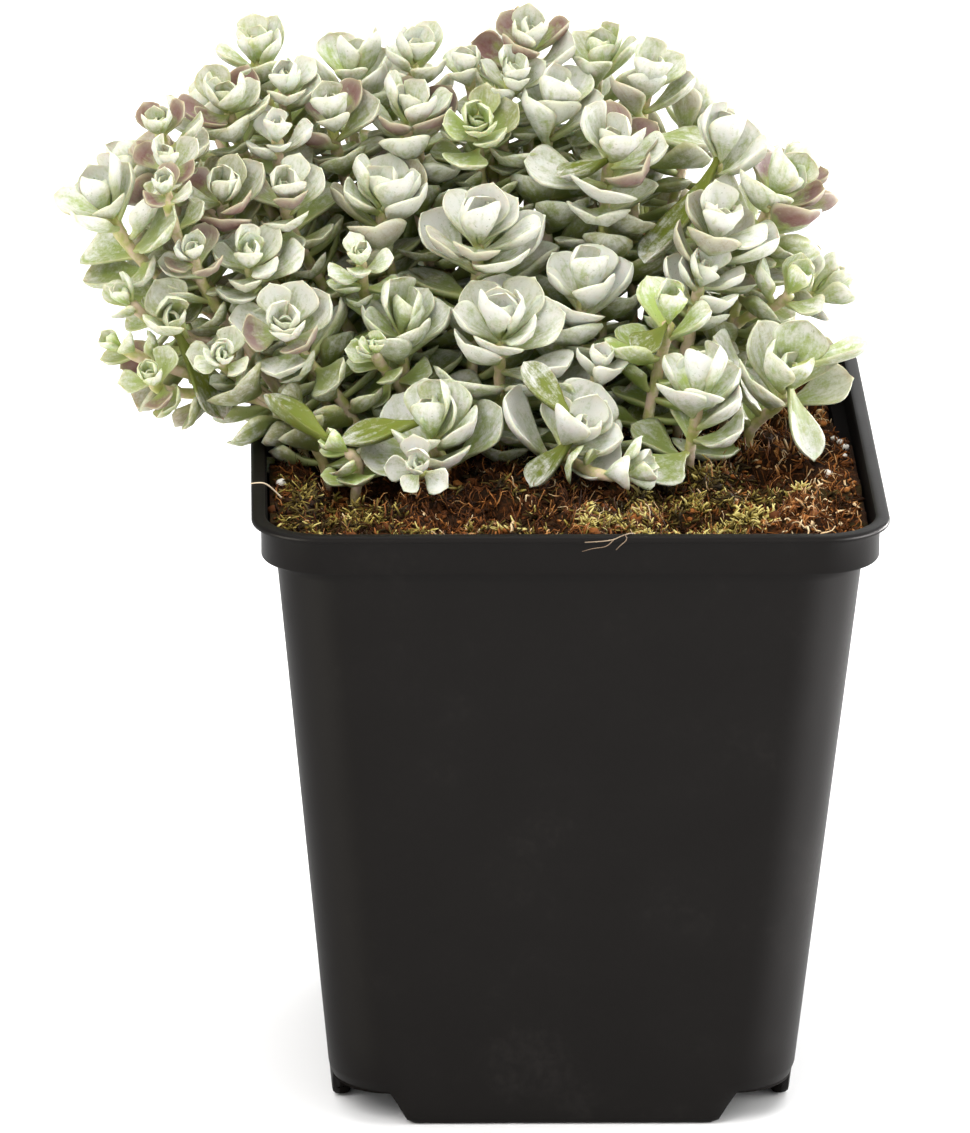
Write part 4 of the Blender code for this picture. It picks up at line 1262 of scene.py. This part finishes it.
# %% Paint the ground
PEAT_DARK = (0.020, 0.0085, 0.003)
PEAT_RED = (0.10, 0.032, 0.007)
PEAT_TAN = (0.32, 0.16, 0.045)
MOSS_STAIN = (0.035, 0.026, 0.004)
lump = ground_paint.noise(2.2, 4.0, roughness=0.7)
grit = ground_paint.noise(0.5, 4.0, roughness=0.7)
patch = ground_paint.noise(11.0, 2.0)
soil_colour = ground_paint.mix(ground_paint.step(lump, 0.46, 0.74), PEAT_DARK, PEAT_RED)
soil_colour = ground_paint.mix(ground_paint.step(grit, 0.62, 0.8) * 0.45, soil_colour, PEAT_TAN)
soil_colour = ground_paint.mix(ground_paint.step(patch, 0.5, 0.62) * 0.5, soil_colour, MOSS_STAIN)
ground_paint.set(Base_Color=soil_colour)
ground_paint.bump(lump + grit, 0.5, 1.0)
print("ground painted")

# %% [markdown]
# ## Fibres, moss, crumbs and straw
# Thousands of short strands lie on the ground. One function makes them all at once: a heading
# that wanders a little at each step, added up into a path, and a three-sided tube round it.
# Moss is the same function with short stiff strands that rise from shared centres.

# %% Strands
def strands(starts, yaw, pitch, length, radius, steps, wander, droop=0.0, hug=True):
    """Thin tapering tubes: points by strand, step and corner, their faces, and which were kept.

    The heading's two angles change by a random amount at each step. Each step goes the same
    distance along the heading, and the height counts from the ground below. A strand that
    leaves the soil is dropped.
    """
    shape = len(starts), steps
    yaw = yaw[:, None] + np.cumsum(soil_rng.normal(0, wander, shape), axis=1)
    pitch = pitch[:, None] + np.cumsum(soil_rng.normal(-droop, wander * 0.5, shape), axis=1)
    heading = np.cos(yaw) * np.cos(pitch), np.sin(yaw) * np.cos(pitch), np.sin(pitch)
    moves = np.stack(heading, -1) * (length / steps)[:, None, None]
    path = np.concatenate([starts[:, None], starts[:, None] + np.cumsum(moves, axis=1)], axis=1)
    if hug:
        below = fine_ground(path[..., 0], path[..., 1])
        path[..., 2] += below - fine_ground(starts[:, 0], starts[:, 1])[:, None]
        path[..., 2] = np.maximum(path[..., 2], below - 0.1)
    inside = on_soil(path.reshape(-1, 3)[:, :2]).reshape(len(starts), -1).all(axis=1)
    taper = np.linspace(1.0, 0.25, steps + 1) ** 0.7
    points = tube_rings(path[inside], (0.02, 0.01, 1.0), radius[inside, None] * taper, turns(3))
    last = 3 * steps
    caps = np.array([[0, 1, 2], [last + 2, last + 1, last]])
    shift = np.arange(len(points))[:, None, None] * 3 * (steps + 1)
    faces = (ring_faces(steps + 1, 3)[:, ::-1] + shift).reshape(-1, 4).tolist()
    return points.reshape(-1, 3), faces + (caps + shift).reshape(-1, 3).tolist(), inside


def hollow_shade_tone(starts):
    """Painted shade: lighter on the ground's humps and darker in its hollows, where shade falls."""
    wide, fine = crumbly(*starts[:, :2].T)
    return 0.28 * fine + 0.16 * wide


def on_soil(spots):
    """True for the places inside the soil's rounded outline."""
    x, y = spots.T
    right = SOIL_HALF + (LEDGE_HALF - SOIL_HALF) * spill_right(y)
    x = x * np.where(x < 0, SOIL_HALF / LEDGE_HALF, SOIL_HALF / right)
    y = y * np.where(y < 0, SOIL_HALF / LEDGE_HALF, 1.0)
    straight = SOIL_HALF - SOIL_CORNER
    beyond = np.maximum(np.abs(x) - straight, 0.0), np.maximum(np.abs(y) - straight, 0.0)
    return np.hypot(*beyond) < 8.0


def scatter(count):
    """Random places on the soil."""
    spots = soil_rng.uniform(-LEDGE_HALF, LEDGE_HALF, (count * 2, 2))
    return grounded(spots[on_soil(spots)][:count])


def litter(name, points, faces, tone, per, paint, climb=0.0):
    """A piece of many small bits, each with its own tone, lighter towards its end by climb."""
    made = piece_of(name, points, faces, (paint,))
    along_bit = np.arange(per) // 3 * 3.0 / max(1, per - 3)
    tones = (np.clip(tone, 0, 1)[:, None] + climb * (along_bit - 0.6)).ravel()
    fill(made.data, "tone", np.column_stack([tones, tones, tones]))
    print(name, len(faces), "faces")


def lay(name, starts, pitch, length, radius, steps, wander, tone, paint, climb=0.0, **how):
    """A piece of strands that point every way, with ranges to draw from or a value for each."""
    count = len(starts)
    draws = [soil_rng.uniform(0, 2 * np.pi, count)]
    for span in (pitch, length, radius):
        draws.append(soil_rng.uniform(*span, count) if isinstance(span, tuple) else span)
    points, faces, kept = strands(starts, *draws, steps, wander, **how)
    litter(name, points, faces, tone(count)[kept], 3 * (steps + 1), paint, climb)


def toned(name, size, stops):
    """A matt finish whose colour comes from each bit's tone, with a little noise."""
    paint = Paint(name, 0.8, Specular_IOR_Level=0.1)
    shade = paint.layer("tone")[0] + (paint.noise(size, 2.0) - 0.6) * 0.35
    paint.set(Base_Color=paint.add("ShaderNodeValToRGB", {"stops": stops}, {0: shade}))
    return paint


fibre_paint = toned("peat_fibre", 0.8, (
    (0.0, (0.020, 0.0075, 0.002)), (0.36, (0.092, 0.028, 0.006)), (0.6, (0.28, 0.098, 0.022)),
    (0.8, (0.48, 0.24, 0.080)), (1.0, (0.70, 0.56, 0.34)),
))
root_paint = toned("thin_root", 2.0, ((0.0, (0.10, 0.050, 0.026)), (1.0, (0.66, 0.54, 0.38))))
moss_paint = toned("cushion_moss", 1.5, (
    (0.0, (0.024, 0.014, 0.003)), (0.4, (0.092, 0.064, 0.012)), (0.72, (0.29, 0.225, 0.045)),
    (1.0, (0.62, 0.53, 0.19)),
))

# %% Lay the fibres and the flakes
def strewn(count, lowest):
    """Random places up to half a millimetre over the soil, and tones that are redder at right."""
    starts = scatter(count)
    starts[:, 2] += soil_rng.uniform(lowest, 0.5, len(starts))
    # Redder at right, and darker in the ground's hollows as painted shade
    return starts, 0.12 * (starts[:, 0] > 18) + hollow_shade_tone(starts)


starts, base = strewn(5200, 0.0)
lay(
    "peat_fibres", starts, (-0.1, 0.7), (1.0, 3.8), (0.06, 0.17), 4, 0.65,
    lambda count: soil_rng.beta(1.1, 1.9, count) + base, fibre_paint, 0.15,
)

starts, base = strewn(4200, -0.1)
# Orange sphagnum in front of the left rosettes
orange = np.exp(-(((starts[:, 0] + 18) / 6) ** 2) - (((starts[:, 1] + 35) / 4) ** 2))
orange += 0.7 * np.exp(-(((starts[:, 0] + 30) / 3) ** 2) - (((starts[:, 1] + 27) / 3) ** 2))
lay(
    "peat_flakes", starts, (-0.3, 1.0), (0.7, 2.2), (0.13, 0.30), 2, 0.5,
    lambda count: soil_rng.beta(1.0, 2.4, count) + 0.35 * orange + base, fibre_paint, 0.2,
)

# %% Lay the crumbs
GOLDEN = (1.0 + 5.0**0.5) / 2.0
ICOSA = unit(np.array([
    (-1, GOLDEN, 0), (1, GOLDEN, 0), (-1, -GOLDEN, 0), (1, -GOLDEN, 0), (0, -1, GOLDEN),
    (0, 1, GOLDEN), (0, -1, -GOLDEN), (0, 1, -GOLDEN), (GOLDEN, 0, -1), (GOLDEN, 0, 1),
    (-GOLDEN, 0, -1), (-GOLDEN, 0, 1),
]))
ICOSA_FACES = """
0 11 5  0 5 1  0 1 7  0 7 10  0 10 11  1 5 9  5 11 4  11 10 2  10 7 6  7 1 8
3 9 4  3 4 2  3 2 6  3 6 8  3 8 9  4 9 5  2 4 11  6 2 10  8 6 7  9 8 1
"""
ICOSA_FACES = np.array(ICOSA_FACES.split(), int).reshape(-1, 3)


def crumbs(centres, size, flat):
    """Twenty-sided lumps, each stretched, roughened and turned at random."""
    count = len(centres)
    lumps = ICOSA[None] * soil_rng.uniform(0.7, 1.25, (count, 12, 1))
    lumps = lumps * soil_rng.uniform(0.6, 1.4, (count, 1, 3)) * size[:, None, None]
    lumps[..., 2] *= flat
    turn = soil_rng.uniform(0, 2 * np.pi, (count, 1))
    lean = soil_rng.normal(0, 0.5, (count, 1))
    x, y, z = np.moveaxis(lumps, -1, 0)
    x, z = x * np.cos(lean) + z * np.sin(lean), z * np.cos(lean) - x * np.sin(lean)
    x, y = x * np.cos(turn) - y * np.sin(turn), x * np.sin(turn) + y * np.cos(turn)
    points = np.stack([x, y, z], -1) + centres[:, None]
    shift = np.arange(count)[:, None, None] * 12
    return points.reshape(-1, 3), (ICOSA_FACES + shift).reshape(-1, 3).tolist()


centres = scatter(1800)
size = soil_rng.uniform(0.25, 0.85, len(centres))
centres[:, 2] += size * 0.25
points, faces = crumbs(centres, size, 0.6)
# Random tones, darker in the ground's hollows as painted shade
tone = soil_rng.beta(1.0, 3.4, len(centres)) + hollow_shade_tone(centres)
litter("peat_crumbs", points, faces, tone, 12, fibre_paint)

# %% Grow the moss
# Each patch: its middle, its radius, how many tufts and how golden
MOSS_PATCHES = (
    (-36, -30, 7, 56, 0.42), (-37, -16, 6, 64, 0.38), (-28, -26, 6, 40, 0.30),
    (-24, -37, 4, 20, 0.50), (-8, -37, 5, 20, 0.45), (4, -33, 6, 40, 0.45),
    (12, -35, 5, 48, 0.60), (20, -33, 5, 64, 0.80), (25, -29, 4, 40, 0.85),
    (18, -22, 7, 88, 0.40), (20, -12, 7, 88, 0.22), (28, -18, 6, 48, 0.40),
    (10, -22, 6, 32, 0.30), (-14, 30, 14, 48, 0.35), (24, 26, 12, 48, 0.35),
    (-30, 10, 8, 32, 0.30), (2, 5, 20, 48, 0.22), (0, -20, 26, 48, 0.25),
)
LEAFLETS = 8
tufts, gold = [], []
for x, y, radius, count, tone in MOSS_PATCHES:
    tufts.append(soil_rng.normal(0.0, radius * 0.5, (count, 2)) + (x, y))
    gold.append(np.clip(tone + soil_rng.normal(0, 0.3, count), 0, 1))
tufts, gold = np.vstack(tufts), np.concatenate(gold)
inside = on_soil(tufts)
centres, gold = grounded(tufts[inside]), gold[inside]
centres[:, 2] += soil_rng.uniform(0.0, 0.9, len(centres))
starts = np.repeat(centres, LEAFLETS, axis=0)
starts[:, :2] += soil_rng.normal(0, 0.45, (len(starts), 2))
starts[:, 2] -= soil_rng.uniform(0.0, 0.7, len(starts))
# How golden each leaflet is, darker in the hollows as painted shade
golden = np.repeat(gold, LEAFLETS) + hollow_shade_tone(starts)
lay(
    "moss_tufts", starts, (0.1, 1.4), (0.7, 2.3), (0.14, 0.34), 2, 0.35,
    lambda count: golden + soil_rng.normal(0, 0.12, count), moss_paint, 0.5, droop=0.3, hug=False,
)

# %% [markdown]
# A few things stand out on the soil: pale straw at the front right, white grains of perlite by
# the right wall, and thin roots that hang over the lip at the front and at the left.

# %% Lay the straw, the perlite and the loose roots
# Straw: where it starts, how many bits lie about there and how long they are
STRAW = (
    (34, -36, 9, 3.5), (28, -38, 5, 3.0), (22, -20, 4, 2.5), (37, -27, 5, 3.0), (-8, -37, 4, 4.5)
)
starts, lengths = [], []
for x, y, count, long in STRAW:
    starts.append(grounded(soil_rng.normal(0.0, 2.2, (count, 2)) + (x, y)) + (0.0, 0.0, 0.6))
    lengths.append(long * soil_rng.uniform(0.6, 1.2, count))
lay(
    "straw_bits", np.vstack(starts), (0.0, 0.3), np.concatenate(lengths), (0.18, 0.32), 5, 0.35,
    lambda count: np.full(count, 0.98), fibre_paint,
)

PERLITE = ((40.6, 5.5), (41.2, 2.5), (39.8, 7.5), (40.9, -1.0), (-40.8, -13.0), (38.0, -9.0))
centres = grounded(np.array(PERLITE)) + (0.0, 0.0, 0.5)
points, faces = crumbs(centres, soil_rng.uniform(0.5, 0.9, len(centres)), 0.8)
perlite_paint = Paint("perlite_grain", 0.85, Base_Color=(0.72, 0.69, 0.62))
piece_of("perlite_grains", points, faces, (perlite_paint,))

# Roots: radius, tone and the points that each passes through, from the soil out over the lip
LOOSE_ROOTS = (
    (0.12, 0.4, (
        (9.6, -40.6, 91.8), (8.6, -43.0, 94.1), (7.0, -44.4, 94.2), (5.4, -45.1, 93.6),
        (1.6, -45.2, 93.4),
    )),
    (0.09, 0.2, ((7.2, -44.2, 94.2), (7.6, -45.1, 93.8), (6.4, -45.2, 92.8), (6.0, -45.0, 92.2))),
    (0.08, 0.2, ((5.6, -45.1, 93.7), (4.6, -45.2, 92.7), (2.8, -45.1, 92.5), (1.2, -45.1, 92.0))),
    (0.16, 1.0, (
        (-40.6, -21.0, 91.6), (-42.8, -21.6, 94.1), (-44.3, -22.0, 94.25), (-45.2, -21.4, 93.9)
    )),
)
ROOT_SIDES = 5


def thread(path, radius):
    """A thin root: straight lines between the points, rounded by averaging, in a tube."""
    path = np.array(path, float)
    for _ in range(3):
        middles = (path[:-1] * 3 + path[1:]) / 4, (path[:-1] + path[1:] * 3) / 4
        path = np.vstack([path[:1], np.stack(middles, 1).reshape(-1, 3), path[-1:]])
    radii = radius * np.linspace(1.0, 0.5, len(path))
    points = tube_rings(path, (0.1, 0.2, 1.0), radii, turns(ROOT_SIDES)).reshape(-1, 3)
    ends = [list(range(ROOT_SIDES)), list(range(len(points) - 1, len(points) - 1 - ROOT_SIDES, -1))]
    return points, ring_faces(len(path), ROOT_SIDES)[:, ::-1].tolist() + ends


threads = [thread(route, radius) for radius, _, route in LOOSE_ROOTS]
tone = np.repeat([shade for _, shade, _ in LOOSE_ROOTS], [len(points) for points, _ in threads])
litter("loose_roots", *joined(threads), tone, 1, root_paint)
